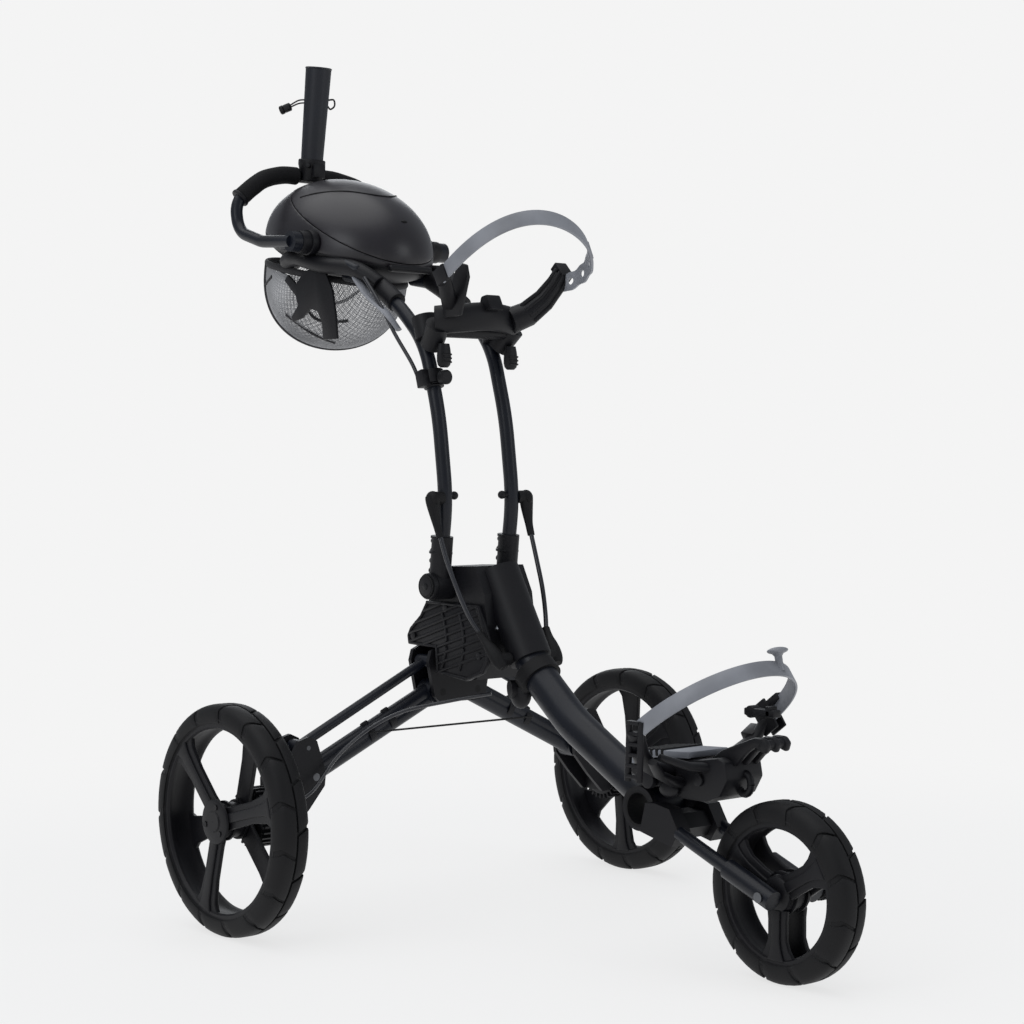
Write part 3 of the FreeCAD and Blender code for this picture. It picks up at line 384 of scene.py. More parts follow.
def row_tree():
    """Copies of a piece along a step, or about the X axis through a centre."""
    tree = new_tree("copies", [("Count", "NodeSocketInt"), ("Step", "NodeSocketVector"),
                               ("Turn", "NodeSocketVector"), ("Centre", "NodeSocketVector"),
                               ("Material", "NodeSocketMaterial")])
    nodes = tree.nodes
    link = tree.links.new
    inlet = nodes.new("NodeGroupInput")
    line = nodes.new("GeometryNodeMeshLine")
    link(inlet.outputs["Count"], line.inputs["Count"])
    link(inlet.outputs["Centre"], line.inputs["Start Location"])
    link(inlet.outputs["Step"], line.inputs["Offset"])
    number = nodes.new("GeometryNodeInputIndex")
    turned = nodes.new("ShaderNodeVectorMath")
    turned.operation = "SCALE"
    link(inlet.outputs["Turn"], turned.inputs["Vector"])
    link(number.outputs["Index"], turned.inputs["Scale"])
    placed = nodes.new("GeometryNodeInstanceOnPoints")
    link(line.outputs["Mesh"], placed.inputs["Points"])
    link(inlet.outputs["Geometry"], placed.inputs["Instance"])
    link(turned.outputs["Vector"], placed.inputs["Rotation"])
    finish_tree(tree, inlet, placed.outputs["Instances"])
    return tree


copies = row_tree()


def grown(piece, tree, **inputs):
    """Run a tree on a piece and keep the result as its plain mesh."""
    modifier = piece.modifiers.new("grown", "NODES")
    modifier.node_group = tree
    for socket in tree.interface.items_tree:
        if socket.in_out == "INPUT" and socket.name.lower() in inputs:
            modifier[socket.identifier] = inputs[socket.name.lower()]
    plain(piece)
    return piece


tooth = bmesh.new()
block(tooth, Vector((0, 0, 0)), (12, 6, 6), Matrix.Rotation(math.radians(-39), 4, "X"))
teeth = grown(started("sleeve_teeth", tooth), copies, count=5, step=SLEEVE_ALONG * 9.5 * MM,
              turn=Vector((0, 0, 0)), centre=at(-14, 128, 384), material=moulded_nylon)
fitted(teeth, moulded_nylon, "chassis", 0.8)

lug = bmesh.new()
ball(lug, at(10, 168, 292), (11, 17, 19))
bar(lug, [at(-16, 176, 300), at(22, 160, 298)], [10, 12, 10])
ball(lug, at(-14, 186, 288), (6, 7, 7))
fitted(started("hub_lug", lug), moulded_nylon, "chassis")

heads = bmesh.new()
for x, y, z in ((24, 138, 378), (27, 156, 338)):
    seat = at(x, y, z)
    outward = Vector((0.8, 0.35, 0.48)).normalized()
    disc(heads, seat - outward * 0.004, 4.6, 5.0, outward, 18)
fitted(started("sleeve_screws", heads), steel, "chassis", 0.5)
dark_ring = finish("dark_ring", (0.003, 0.003, 0.004), 0.58, 0.0008, 0.0001,
                   fixed=(("Specular IOR Level", 0.25),))
dress(dark_ring, "spine_collar")
dress(dark_ring, "hub_pins")

# ---------------------------------------------------------------- rear legs, fold rods and knuckles
# Each rear leg is an oval alloy tube with a thinner fold rod above it, clipped together along the
# run. Nylon knuckles join them to the axles.


def nylon(name, shell, body, edge=0.0, replaces=()):
    """A plain black moulding on a body."""
    return fitted(started(name, shell), moulded_nylon, body, edge, replaces)


dress(painted_alloy, "leg_right", "leg_left", "fold_rod_right", "fold_rod_left")
dress(moulded_nylon, "knuckle_right", "knuckle_left")
dress(steel, "axle_right", "axle_left", "front_axle")
for side, sign in RIGHT_AND_LEFT:
    clips = bmesh.new()
    start = at(sign * 30, 12, 285)
    end = at(sign * 229, 2, 190)
    along = (end - start).normalized()
    over = Vector((along.z * -sign, 0, abs(along.x))).normalized()
    for share in (0.36, 0.52):
        spot = start.lerp(end, share)
        disc(clips, spot - along * 0.005, 13.2, 10, along, 28)
        lifted = spot + over * 0.0138
        disc(clips, lifted - along * 0.005, 4.0, 10, along, 20)
    nylon(f"leg_clips_{side}", clips, f"rear_leg_{side}", 0.8)

# ---------------------------------------------------------------- brake drums
# A finned nylon drum is fixed to each knuckle, inside the rear wheel.


def boxed(node):
    """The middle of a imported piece's box in metres, and its half sizes in millimetres."""
    low, high = [Vector(corner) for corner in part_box(node)]
    return (low + high) / 2, (high - low) / 2 / MM


for side, sign in RIGHT_AND_LEFT:
    centre, spread = boxed(f"brake_drum_{side}")
    half = spread.x
    drum = bmesh.new()
    bar(drum, [centre + Vector((x * MM, 0, 0)) for x in (-half, -half + 2, half - 2, half)],
        [29, 32, 32, 29], 48)
    nylon(f"drum_{side}", drum, f"axle_knuckle_{side}", 0, [f"brake_drum_{side}"])
    fin = bmesh.new()
    block(fin, Vector((0, 0, 34.5 * MM)), (2 * half - 3, 2.6, 7))
    fins = grown(started(f"drum_fins_{side}", fin), copies, count=28, step=Vector((0, 0, 0)),
                 turn=Vector((2 * math.pi / 28, 0, 0)), centre=centre, material=moulded_nylon)
    fitted(fins, moulded_nylon, f"axle_knuckle_{side}")

# ---------------------------------------------------------------- wheels: tyres
# Solid EVA tyres with a rounded carcass. Blocky tread lugs in two staggered rows wrap over the
# shoulders, parted by slanted grooves.
tyre_foam = finish("tyre_rubber", (0.0055, 0.0055, 0.0065), 0.60, 0.0012, 0.00016,
                   fixed=(("Specular IOR Level", 0.25),))
LUGS = {"tyre_right": 15, "tyre_left": 15, "front_tyre": 12}
LUG_HIGH = 2.6
TYRE_BODY = {"tyre_right": "rear_wheel_right", "tyre_left": "rear_wheel_left", "front_tyre": "front_wheel"}
RIM_OF = {"tyre_right": "rim_right", "tyre_left": "rim_left", "front_tyre": "front_rim"}


def crown(radius, half, x):
    """The carcass's radius at a distance from its middle plane: flat, then round at the shoulder."""
    share = min(abs(x) / half, 1.0)
    return radius - 20 * (1 - math.sqrt(max(1 - share ** 4.2, 0.0)))


def turned(shell, profile, centre, steps=96):
    """A closed (x, radius) profile in millimetres, turned about the X axis through a centre."""
    rings = []
    for step in range(steps):
        turn = 2 * math.pi * step / steps
        out = Vector((0, math.cos(turn), math.sin(turn)))
        rings.append([shell.verts.new(centre + Vector((x * MM, 0, 0)) + out * (radius * MM))
                      for x, radius in profile])
    for step in range(steps):
        one = rings[step]
        other = rings[(step + 1) % steps]
        for spot in range(len(profile)):
            nxt = (spot + 1) % len(profile)
            shell.faces.new((one[spot], one[nxt], other[nxt], other[spot]))


for node, lugs in LUGS.items():
    centre, spread = boxed(node)
    radius = spread.z
    half = spread.x
    inner = boxed(RIM_OF[node])[1].z
    base = radius - LUG_HIGH
    profile = [(-half + 3, inner), (half - 3, inner), (half - 1, inner + 3), (half - 0.4, inner + 6),
               (half - 2.2, inner + 8)]
    shoulder = [half * math.sin(math.pi / 2 * step / 14) for step in range(14, -15, -1)]
    profile += [(x * 0.97, crown(base, half, x)) for x in shoulder]
    profile += [(-half + 2.2, inner + 8), (-half + 0.4, inner + 6), (-half + 1, inner + 3)]
    carcass = bmesh.new()
    turned(carcass, profile, centre)
    fitted(started(f"{node}_carcass", carcass), tyre_foam, TYRE_BODY[node], 0, [node])

    pitch = 2 * math.pi / lugs
    lug = bmesh.new()
    for way in (1, -1):
        offset = 0.0 if way > 0 else pitch / 2
        across = [1.2 + (half - 1.2) * math.sin(math.pi / 2 * step / 8) for step in range(9)]
        layers = []
        for lift in (-1.6, LUG_HIGH):
            rows = []
            for spot, x in enumerate(across):
                share = spot / 8
                skew = 0.30 * pitch * (share if share < 0.55 else 1.1 - share)
                wide = 0.93 if share < 0.55 else 0.86
                cap = crown(base, half, x) + lift * (1 - 0.25 * share ** 6)
                row = []
                for step in range(6):
                    turn = offset + skew + pitch * wide * (step / 5 - 0.5)
                    out = Vector((0, math.cos(turn), math.sin(turn)))
                    side_x = way * x * (0.97 + (0.03 if lift > 0 else 0.0))
                    row.append(lug.verts.new(Vector((side_x * MM, 0, 0)) + out * (cap * MM)))
                rows.append(row)
            layers.append(rows)
        under, over = layers
        for spot in range(8):
            for step in range(5):
                for rows in layers:
                    lug.faces.new((rows[spot][step], rows[spot + 1][step], rows[spot + 1][step + 1],
                                   rows[spot][step + 1]))
            for step in (0, 5):
                lug.faces.new((under[spot][step], under[spot + 1][step], over[spot + 1][step],
                               over[spot][step]))
        for spot in (0, 8):
            for step in range(5):
                lug.faces.new((under[spot][step], under[spot][step + 1], over[spot][step + 1],
                               over[spot][step]))
    tread = started(f"{node}_tread", lug)
    soften = tread.modifiers.new("worn_edges", "BEVEL")
    soften.width = 0.9 * MM
    soften.segments = 2
    soften.limit_method = "ANGLE"
    soften.angle_limit = math.radians(40)
    plain(tread)
    grown(tread, copies, count=lugs, step=Vector((0, 0, 0)), turn=Vector((pitch, 0, 0)), centre=centre,
          material=tyre_foam)
    fitted(tread, tyre_foam, TYRE_BODY[node])

# ---------------------------------------------------------------- wheels: rims and hub caps
# One-piece nylon rims. A channelled band is joined to the barrel by two layers of three spokes
# that widen into it, and the rear wheels' outer face has a round plate held by three screws.
RIM_SIDES = {"rim_right": ("rear_wheel_right", 1, 15, 75),
             "rim_left": ("rear_wheel_left", -1, 95, 35),
             "front_rim": ("front_wheel", 1, 30, 30)}
BARREL = 22.0
SPOKE_LAYER = 15.0
for node, (body, sign, near_angle, far_angle) in RIM_SIDES.items():
    centre, spread = boxed(node)
    outer = spread.z
    half = spread.x
    band = bmesh.new()
    channel = [(-half, outer), (-half, outer - 4.5), (-half + 3, outer - 6.5), (-half + 8, outer - 6),
               (-half + 11, outer - 4), (half - 11, outer - 4), (half - 8, outer - 6),
               (half - 3, outer - 6.5), (half, outer - 4.5), (half, outer)]
    turned(band, channel, centre)
    barrel = [(-21, 6.3), (-21, 17), (-19, 20), (-14, BARREL), (14, BARREL), (19, 20), (21, 17), (21, 6.3)]
    turned(band, barrel, centre, 48)
    for x in (-9.0, 9.0):
        turned(band, [(x - 1.5, BARREL - 1), (x - 1.5, BARREL + 3), (x + 1.5, BARREL + 3),
                      (x + 1.5, BARREL - 1)], centre, 48)
    nylon(f"{node}_band", band, body, 0, [node])
    for layer, angle in ((1, near_angle), (-1, far_angle)):
        spoke = bmesh.new()
        reach = outer - 3.5
        web = [(BARREL - 5, 15.0), (BARREL + 8, 13.5), (BARREL + (reach - BARREL) * 0.55, 13.5),
               (reach - 14, 17.5), (reach - 5, 24.0), (reach, 31.0)]
        outline = web + [(along, -wide) for along, wide in reversed(web)]
        for offset, thick, shrink in ((0.0, 3.2, 1.0), (2.6, 3.4, 0.45)):
            plate_x = layer * sign * (SPOKE_LAYER + offset)
            faces = [[spoke.verts.new(Vector(((plate_x + lift) * MM, along * MM, wide * shrink * MM)))
                      for along, wide in outline] for lift in (-thick, thick)]
            spoke.faces.new(list(reversed(faces[0])))
            spoke.faces.new(faces[1])
            for number in range(len(outline)):
                spoke.faces.new((faces[0][number - 1], faces[0][number], faces[1][number],
                                 faces[1][number - 1]))
        bmesh.ops.rotate(spoke, verts=spoke.verts, cent=(0, 0, 0),
                         matrix=Matrix.Rotation(math.radians(angle), 3, "X"))
        spokes = started(f"{node}_spokes_{'outer' if layer > 0 else 'inner'}", spoke)
        soften = spokes.modifiers.new("moulded_edges", "BEVEL")
        soften.width = 1.6 * MM
        soften.segments = 3
        soften.limit_method = "ANGLE"
        plain(spokes)
        grown(spokes, copies, count=3, step=Vector((0, 0, 0)), turn=Vector((2 * math.pi / 3, 0, 0)),
              centre=centre, material=moulded_nylon)
        fitted(spokes, moulded_nylon, body)

CAP_PROFILE = [(-2.5, 0.5), (-2.5, 27), (-1, 28.5), (1.2, 27.5), (2.4, 24), (2.4, 13), (3.8, 12), (3.8, 0.5)]
for side, sign in RIGHT_AND_LEFT:
    centre = boxed(f"hub_cap_{side}")[0]
    cap = bmesh.new()
    turned(cap, [(sign * x, radius) for x, radius in CAP_PROFILE], centre, 48)
    for number in range(3):
        turn = math.radians(75 + 120 * number)
        spot = centre + Vector((sign * 2 * MM, math.cos(turn) * 19 * MM, math.sin(turn) * 19 * MM))
        disc(cap, spot, 3.6, 1.8, Vector((sign, 0, 0)), 16)
    nylon(f"hub_plate_cap_{side}", cap, f"rear_wheel_{side}", 0, [f"hub_cap_{side}"])


# ---------------------------------------------------------------- fork and tracking dial
# A nylon yoke turns on the spine's ring and holds two alloy arms with thick end sleeves. The
# knurled dial on the axle's end trims how straight the cart runs.
dress(moulded_nylon, "fork_yoke")
dress(dark_ring, "pivot_bush")
dress(painted_alloy, "fork_arms")
dial_middle, dial_spread = boxed("tracking_knob")
dial_reach = dial_spread.z
dial = bmesh.new()
turned(dial, [(-6, 0.5), (-6, dial_reach - 3), (-4.5, dial_reach - 1.6), (4.5, dial_reach - 1.6),
              (6, dial_reach - 3), (6, 0.5)], dial_middle, 48)
nylon("tracking_dial_body", dial, "tracking_dial", 0, ["tracking_knob"])
ridge = bmesh.new()
block(ridge, Vector((0, 0, (dial_reach - 1.5) * MM)), (8.5, 2.2, 2.8))
ridges = grown(started("tracking_dial_ridges", ridge), copies, count=20, step=Vector((0, 0, 0)),
               turn=Vector((math.pi / 10, 0, 0)), centre=dial_middle, material=moulded_nylon)
fitted(ridges, moulded_nylon, "tracking_dial")

# ---------------------------------------------------------------- lower bag bracket
# A broad nylon cradle bolted over the fork pivot. Two arms curve out and up to the strap posts,
# the near post is an open ladder, and a claw and a small loop stand out at the front.
BASE_OUTLINE = [(397, 208), (392, 222), (404, 232), (424, 238), (500, 244), (536, 250), (548, 246),
                (552, 226), (540, 206), (520, 197), (480, 196), (440, 206), (420, 203)]
CLAW_OUTLINE = [(508, 244), (530, 258), (556, 268), (580, 277), (594, 277), (601, 270), (597, 259),
                (588, 262), (580, 266), (566, 256), (550, 240)]
base = bmesh.new()
slab(base, BASE_OUTLINE, -31, 31)
for low_x in (-26, -9, 8):
    slab(base, CLAW_OUTLINE, low_x, low_x + 9)
bar(base, [at(-26, 592, 269), at(18, 592, 269)], [5.5], 16)
bar(base, [at(-24, 552, 258), at(16, 552, 258)], [7.0], 16)
nylon("cradle_base", base, "chassis", 3.0)


def places(points, sign=1):
    """Places in metres from millimetres, mirrored for the left side with a sign of -1."""
    return [at(sign * x, y, z) for x, y, z in points]


ARM_ROUTE = [(14, 452, 222), (44, 456, 228), (76, 466, 240), (98, 477, 258), (110, 484, 280)]
arms = bmesh.new()
for side, sign in RIGHT_AND_LEFT:
    route = places(ARM_ROUTE, sign)
    bar(arms, route, [17, 15, 13, 11.5, 10], 24, 0.62)
    lower_route = [at(sign * x, y + 22, z - 10) for x, y, z in ARM_ROUTE[:4]]
    bar(arms, lower_route, [11, 9, 7.5, 6], 16, 0.7)
    brace = [at(sign * 20, 520, 236), at(sign * 52, 512, 240), at(sign * 84, 496, 252)]
    bar(arms, brace, [9, 7, 5.5], 16, 0.7)
nylon("cradle_arms", arms, "chassis", 0)
rails = bmesh.new()
for y in (472.5, 491.5):
    bar(rails, [at(106, y - 6, 224), at(110, y, 262), at(111, y + 2, 294)], [4.0, 4.0, 3.6], 16)
nylon("ladder_rails", rails, "chassis", 0)
rung = bmesh.new()
block(rung, Vector((0, 0, 0)), (8, 19, 4.4))
rungs = grown(started("ladder_rungs", rung), copies, count=6, step=Vector((0.9 * MM, 1.3 * MM, 12.5 * MM)),
              turn=Vector((0, 0, 0)), centre=at(107, 477, 230), material=moulded_nylon)
fitted(rungs, moulded_nylon, "chassis", 0.8)
clip = bmesh.new()
CLIP_TURN = Matrix.Rotation(math.radians(36), 4, "X")
for x in (-118, -104):
    block(clip, at(x, 486, 282), (4, 26, 40), CLIP_TURN)
block(clip, at(-111, 478, 270), (14, 26, 12), CLIP_TURN)
block(clip, at(-111, 497, 303), (18, 26, 9), CLIP_TURN)
block(clip, at(-101, 470, 262), (22, 20, 14), Matrix.Rotation(math.radians(30), 4, "Y"))
nylon("far_strap_clip", clip, "chassis", 1.8)
loop = bmesh.new()
ring = [at(-2, 549 + 10 * math.cos(math.radians(step * 20)), 219 + 12 * math.sin(math.radians(step * 20)))
        for step in range(19)]
bar(loop, ring, [4.6], 14, 1.0, Vector((1, 0, 0)))
bar(loop, [at(-2, 528, 214), at(-2, 543, 216)], [7, 5], 14)
nylon("lower_loop_link", loop, "chassis", 0)
collar = bmesh.new()
disc(collar, at(31, 430, 214), 10.5, 9, Vector((1, 0, 0)), 28)
disc(collar, at(-40, 430, 214), 10.5, 9, Vector((1, 0, 0)), 28)
disc(collar, at(30, 508, 222), 7.5, 5, Vector((1, 0, 0)), 24)
ball(collar, at(34, 462, 206), (7, 16, 10))
nylon("cradle_bosses", collar, "chassis", 1.2, ["lower_bracket"])

# ---------------------------------------------------------------- bag pad
# A grey overmoulded pad on the cradle steadies the bag's foot, with dark ribs let into its slope.
grey_pad = finish("grey_pad", (0.17, 0.18, 0.205), 0.5, 0.0011, 0.00012)
pad = bmesh.new()
slab(pad, [(396, 224), (410, 236), (440, 241), (492, 245), (494, 253), (440, 250), (406, 246), (394, 236)],
     -33, 33)
fitted(started("bag_pad", pad), grey_pad, "chassis", 1.6, ["lower_pad"])
slat = bmesh.new()
block(slat, Vector((0, 0, 0)), (67.4, 4.4, 9), Matrix.Rotation(math.radians(6), 4, "X"))
slats = grown(started("bag_pad_ribs", slat), copies, count=5, step=Vector((0, 9.2 * MM, 0.9 * MM)),
              turn=Vector((0, 0, 0)), centre=at(0, 412, 244.5), material=dark_ring)
fitted(slats, dark_ring, "chassis", 0.8)

# ---------------------------------------------------------------- bag straps
# Stretchy straps moulded in grey silicone. The upper one has a scalloped end with oval holes for
# its hook, and the lower one a mushroom tab to pull it by.
silicone = finish("grey_silicone", (0.225, 0.235, 0.262), 0.42, 0.0007, 0.00004)
UPPER_LOOP = {"wide": 99.6, "long": 149.7, "tilt": 0.43, "y": 114.4, "z": 822.3, "skew": 19.9}
LOWER_LOOP = {"wide": 109.5, "long": 118.5, "tilt": 0.639, "y": 487.7, "z": 284.1, "skew": 0.0}
STRAP_THICK = 3.0


def strap_place(loop, turn):
    """A place on a strap's middle line, in metres."""
    reach = loop["long"] * math.sin(turn)
    return at(loop["wide"] * math.cos(turn), loop["y"] + reach * math.cos(loop["tilt"]),
              loop["z"] + reach * math.sin(loop["tilt"]) + loop["skew"] * math.sin(2 * turn))


def strap(shell, loop, start, end, widths, steps=72):
    """A flat band along a strap's line, whose width follows a function of the share along it."""
    over = Vector((0, -math.sin(loop["tilt"]), math.cos(loop["tilt"])))
    rings = []
    for step in range(steps + 1):
        share = step / steps
        turn = start + (end - start) * share
        along = (strap_place(loop, turn + 0.01) - strap_place(loop, turn - 0.01)).normalized()
        wide = (over - along * over.dot(along)).normalized()
        out = along.cross(wide)
        half = widths(share) / 2 * MM
        middle = strap_place(loop, turn)
        thick = STRAP_THICK / 2 * MM
        rings.append([shell.verts.new(middle + wide * a * half + out * b * thick)
                      for a, b in ((-1, -1), (0, -1), (1, -1), (1, 1), (0, 1), (-1, 1))])
    for one, other in zip(rings, rings[1:]):
        for spot in range(6):
            nxt = (spot + 1) % 6
            shell.faces.new((one[spot], one[nxt], other[nxt], other[spot]))
    shell.faces.new(list(reversed(rings[0])))
    shell.faces.new(rings[-1])


def scalloped(share):
    """The upper strap's width: even, then waisted between its holes."""
    if share < 0.74:
        return 19.5
    return 19.5 + 4.2 * (0.5 - 0.5 * math.cos((share - 0.74) / 0.086 * 2 * math.pi))


def pierced(piece, loop, turns, half_long, half_wide):
    """Cut oval holes through a strap."""
    cutter = bmesh.new()
    over = Vector((0, -math.sin(loop["tilt"]), math.cos(loop["tilt"])))
    for turn in turns:
        along = (strap_place(loop, turn + 0.01) - strap_place(loop, turn - 0.01)).normalized()
        wide = (over - along * over.dot(along)).normalized()
        out = along.cross(wide)
        lie = Matrix((along, wide, out)).transposed().to_4x4()
        scale = Matrix.Diagonal((half_long * MM, half_wide * MM, 0.02, 1))
        bmesh.ops.create_cone(cutter, cap_ends=True, segments=24, radius1=1, radius2=1, depth=1,
                              matrix=Matrix.Translation(strap_place(loop, turn)) @ lie @ scale)
    tool = started("strap_cutter", cutter)
    hole = piece.modifiers.new("holes", "BOOLEAN")
    hole.operation = "DIFFERENCE"
    hole.object = tool
    plain(piece)
    bpy.data.objects.remove(tool)


band = bmesh.new()
strap(band, UPPER_LOOP, 0.02, math.pi - 0.10, scalloped)
upper_band = started("upper_bag_strap", band)
hole_turns = [0.02 + (math.pi - 0.12) * (0.783 + 0.086 * step) for step in range(3)]
pierced(upper_band, UPPER_LOOP, hole_turns, 7.8, 4.4)
fitted(upper_band, silicone, "upper_frame", 0.9, ["upper_strap"])
ridges = bmesh.new()
for step in range(3):
    turn = 2.05 + step * 0.045
    place = strap_place(UPPER_LOOP, turn)
    over = Vector((0, -math.sin(UPPER_LOOP["tilt"]), math.cos(UPPER_LOOP["tilt"])))
    bar(ridges, [place - over * 0.0085, place + over * 0.0085], [2.6], 12)
fitted(started("upper_strap_ridges", ridges), silicone, "upper_frame", 0)

band = bmesh.new()
strap(band, LOWER_LOOP, 0.04, math.pi - 0.06, lambda share: 20.0)
fitted(started("lower_bag_strap", band), silicone, "chassis", 0.9)
tab = bmesh.new()
tab_foot = at(-30, 577, 356)
tab_up = Vector((0, -0.2, 1)).normalized()
bar(tab, [tab_foot - tab_up * 0.006, tab_foot + tab_up * 0.004, tab_foot + tab_up * 0.011,
          tab_foot + tab_up * 0.0155], [6.5, 4.4, 4.6, 8.0], 24)
ball(tab, tab_foot + tab_up * 0.0175, (14, 11, 4.2), Matrix.Rotation(math.radians(11), 4, "X"), 28)
fitted(started("strap_pull_tab", tab), silicone, "chassis", 0, ["lower_strap"])
buckle = bmesh.new()
middle, spread = boxed("lower_buckle")
span = spread * 2
block(buckle, middle, (span.x, span.y * 0.98, span.z * 0.5))
block(buckle, middle + Vector((0, 14 * MM, 2.4 * MM)), (span.x, 8, span.z * 0.7))
disc(buckle, middle + Vector((-span.x / 2 * MM, -15 * MM, 0)), 7.5, span.x, Vector((1, 0, 0)), 24)
nylon("strap_buckle_lever", buckle, "strap_buckle", 1.6, ["lower_buckle"])

# ---------------------------------------------------------------- upper tubes and their sockets
# Two slim alloy tubes curve up to the console. Each stands in a nylon socket that turns on the
# hub's cross pin, with ratchet nubs down its back and a round stop button on the tube's inner side.
dress(painted_alloy, "upper_tube_right", "upper_tube_left")
dress(moulded_nylon, "tube_socket_right", "tube_socket_left")
for side, sign in RIGHT_AND_LEFT:
    nub = bmesh.new()
    ball(nub, Vector((0, 0, 0)), (9, 5, 5.5), around=14)
    nubs = grown(started(f"socket_nubs_{side}", nub), copies, count=4,
                 step=Vector((0, 1.6 * MM, 13 * MM)), turn=Vector((0, 0, 0)),
                 centre=at(sign * 57, 49, 448), material=moulded_nylon)
    fitted(nubs, moulded_nylon, "upper_frame")
    stop = bmesh.new()
    ball(stop, at(sign * 41, 71, 546), (5.6, 5.6, 5.6))
    bar(stop, [at(sign * 50, 72, 546), at(sign * 42, 71, 546)], [3.6], 16)
    for z, radius in ((470, 16.6), (490, 16.0)):
        disc(stop, at(sign * 57, 63 + (z - 470) * 0.12, z), radius - 1.2, 3.2, Vector((0, 0.11, 1)), 28)
    nylon(f"socket_trim_{side}", stop, "upper_frame", 0.4)
    lobe = bmesh.new()
    disc(lobe, at(sign * 66, *UPPER_PIVOT), 17.2, 11.5, Vector((sign, 0, 0)), 40)
    disc(lobe, at(sign * 77, *UPPER_PIVOT), 12.5, 3.6, Vector((sign, 0, 0)), 36)
    disc(lobe, at(sign * 80, *UPPER_PIVOT), 5.0, 1.6, Vector((sign, 0, 0)), 6)
    fitted(started(f"pivot_cover_{side}", lobe), moulded_nylon, "chassis", 1.0)

# ---------------------------------------------------------------- fold cables and their boots
# A jacketed cable on each side pulls the fold shut. Rubber boots shaped like drops hold its ends on
# the upper tube and on the hub's sleeve, and between them the cable bows out.
rubber = finish("soft_rubber", (0.005, 0.005, 0.006), 0.60, 0.0009, 0.00014,
                fixed=(("Specular IOR Level", 0.25),))
jacket = finish("cable_jacket", (0.020, 0.021, 0.026), 0.22, 0.002, 0.00003)


def eased(points, steps=10):
    """Places along a smooth curve through a few chosen ones."""
    line = []
    for number in range(len(points) - 1):
        before = points[max(number - 1, 0)]
        start, end = points[number], points[number + 1]
        after = points[min(number + 2, len(points) - 1)]
        for step in range(steps):
            t = step / steps
            bend = 2 * before - 5 * start + 4 * end - after
            twist = 3 * start - before - 3 * end + after
            line.append(0.5 * (2 * start + (end - before) * t + bend * t ** 2 + twist * t ** 3))
    line.append(points[-1])
    return line


for side, sign in RIGHT_AND_LEFT:
    boot = bmesh.new()
    boot_line = places(((80, 75, 545), (80, 77, 528), (79, 82, 508), (78, 88, 492)), sign)
    bar(boot, eased(boot_line, 4),
        [10.5, 10.8, 10.4, 9.6, 8.8, 8, 7.2, 6.4, 5.8, 5.5, 5.4, 5.3, 5.2], 22, 0.72)
    ball(boot, at(sign * 80, 75, 542), (8, 11, 10.5))
    disc(boot, at(sign * 64, 74, 543), 8.5, 14, Vector((sign, 0, 0)), 28)
    fitted(started(f"upper_boot_{side}", boot), rubber, "upper_frame")
    boot = bmesh.new()
    boot_line = places(((57, 141, 372), (53, 152, 358), (49, 165, 342), (45, 175, 328)), sign)
    bar(boot, eased(boot_line, 4),
        [5.2, 5.3, 5.6, 6.2, 7.2, 8.6, 9.6, 10.4, 10.8, 10.8, 10.4, 9.4, 8.0], 22, 0.8)
    disc(boot, at(sign * 30, 168, 338), 8.5, 16, Vector((sign, 0, 0)), 28)
    fitted(started(f"lower_boot_{side}", boot), rubber, "chassis")
    cable = bmesh.new()
    line = eased(places(((78, 87, 496), (76.5, 100, 462), (72, 117, 424), (65, 131, 392), (56, 143, 369)),
                        sign))
    bar(cable, line, [3.1], 14)
    cable = fitted(started(f"fold_cable_{side}", cable), jacket, None)
    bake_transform(cable)
    if sign > 0:
        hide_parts("fold_cables", "cable_boots")

# ---------------------------------------------------------------- upper bag bracket
# A smooth nylon crossbar joins the two tubes. A flat fin on one side and a ribbed arm on the other
# reach up to the strap's ends, with a stop lug on top of the bar.
crossbar = bmesh.new()
BOW_LINE = ((-68, 64, 776), (-48, 80, 777), (0, 90, 780), (48, 80, 776), (66, 64, 774))
bow = eased(places(BOW_LINE), 8)
bar(crossbar, bow, [11.0], 36, 1.7)
for sign in (1, -1):
    disc(crossbar, at(sign * 57, 38, 752), 17, 30, Vector((0, -0.3, 0.95)), 32)
    bar(crossbar, [at(sign * 57, 44, 742), at(sign * 64, 66, 768)], [15, 16], 24)
nylon("crossbar", crossbar, "upper_frame", 0, ["upper_bracket"])
lug = bmesh.new()
slab(lug, [(84, 786), (90, 806), (102, 808), (112, 788)], -12, 12)
bar(lug, [at(-60, 62, 761), at(60, 62, 761)], [9], 16)
nylon("crossbar_lug", lug, "upper_frame", 2.5)
fin = bmesh.new()
slab(fin, [(70, 774), (112, 778), (128, 826), (124, 842), (108, 846), (96, 820)], 60, 66)
bar(fin, [at(64, 92, 790), at(84, 108, 812), at(98, 118, 828)], [11, 10, 9], 20, 0.6)
block(fin, at(99, 118, 827), (9, 22, 22), Matrix.Rotation(0.493, 4, "X"))
nylon("near_fin", fin, "upper_frame", 1.6)
arm = bmesh.new()
arm_line = [at(-44, 84, 776), at(-66, 94, 786), at(-84, 106, 804), at(-96, 116, 824), at(-101, 123, 838)]
ARM_RADII = [21.0, 20.0, 18.0, 16.0, 15.0]
bar(arm, arm_line, ARM_RADII, 28, 0.85)
face = Vector((0.65, 0.76, 0.0))
rise = (arm_line[-1] - arm_line[0]).normalized().cross(face).normalized()
for shift in (-0.72, -0.26, 0.26, 0.72):
    ridge = [place + (rise * shift * 0.92 + face * math.sqrt(1 - shift ** 2) * 0.92) * (radius * MM)
             for place, radius in zip(arm_line[1:], ARM_RADII[1:])]
    bar(arm, ridge, [3.2, 3.2, 3.0, 2.8], 10)
block(arm, at(-101, 124, 841), (20, 13, 24), Matrix.Rotation(0.75, 4, "X"))
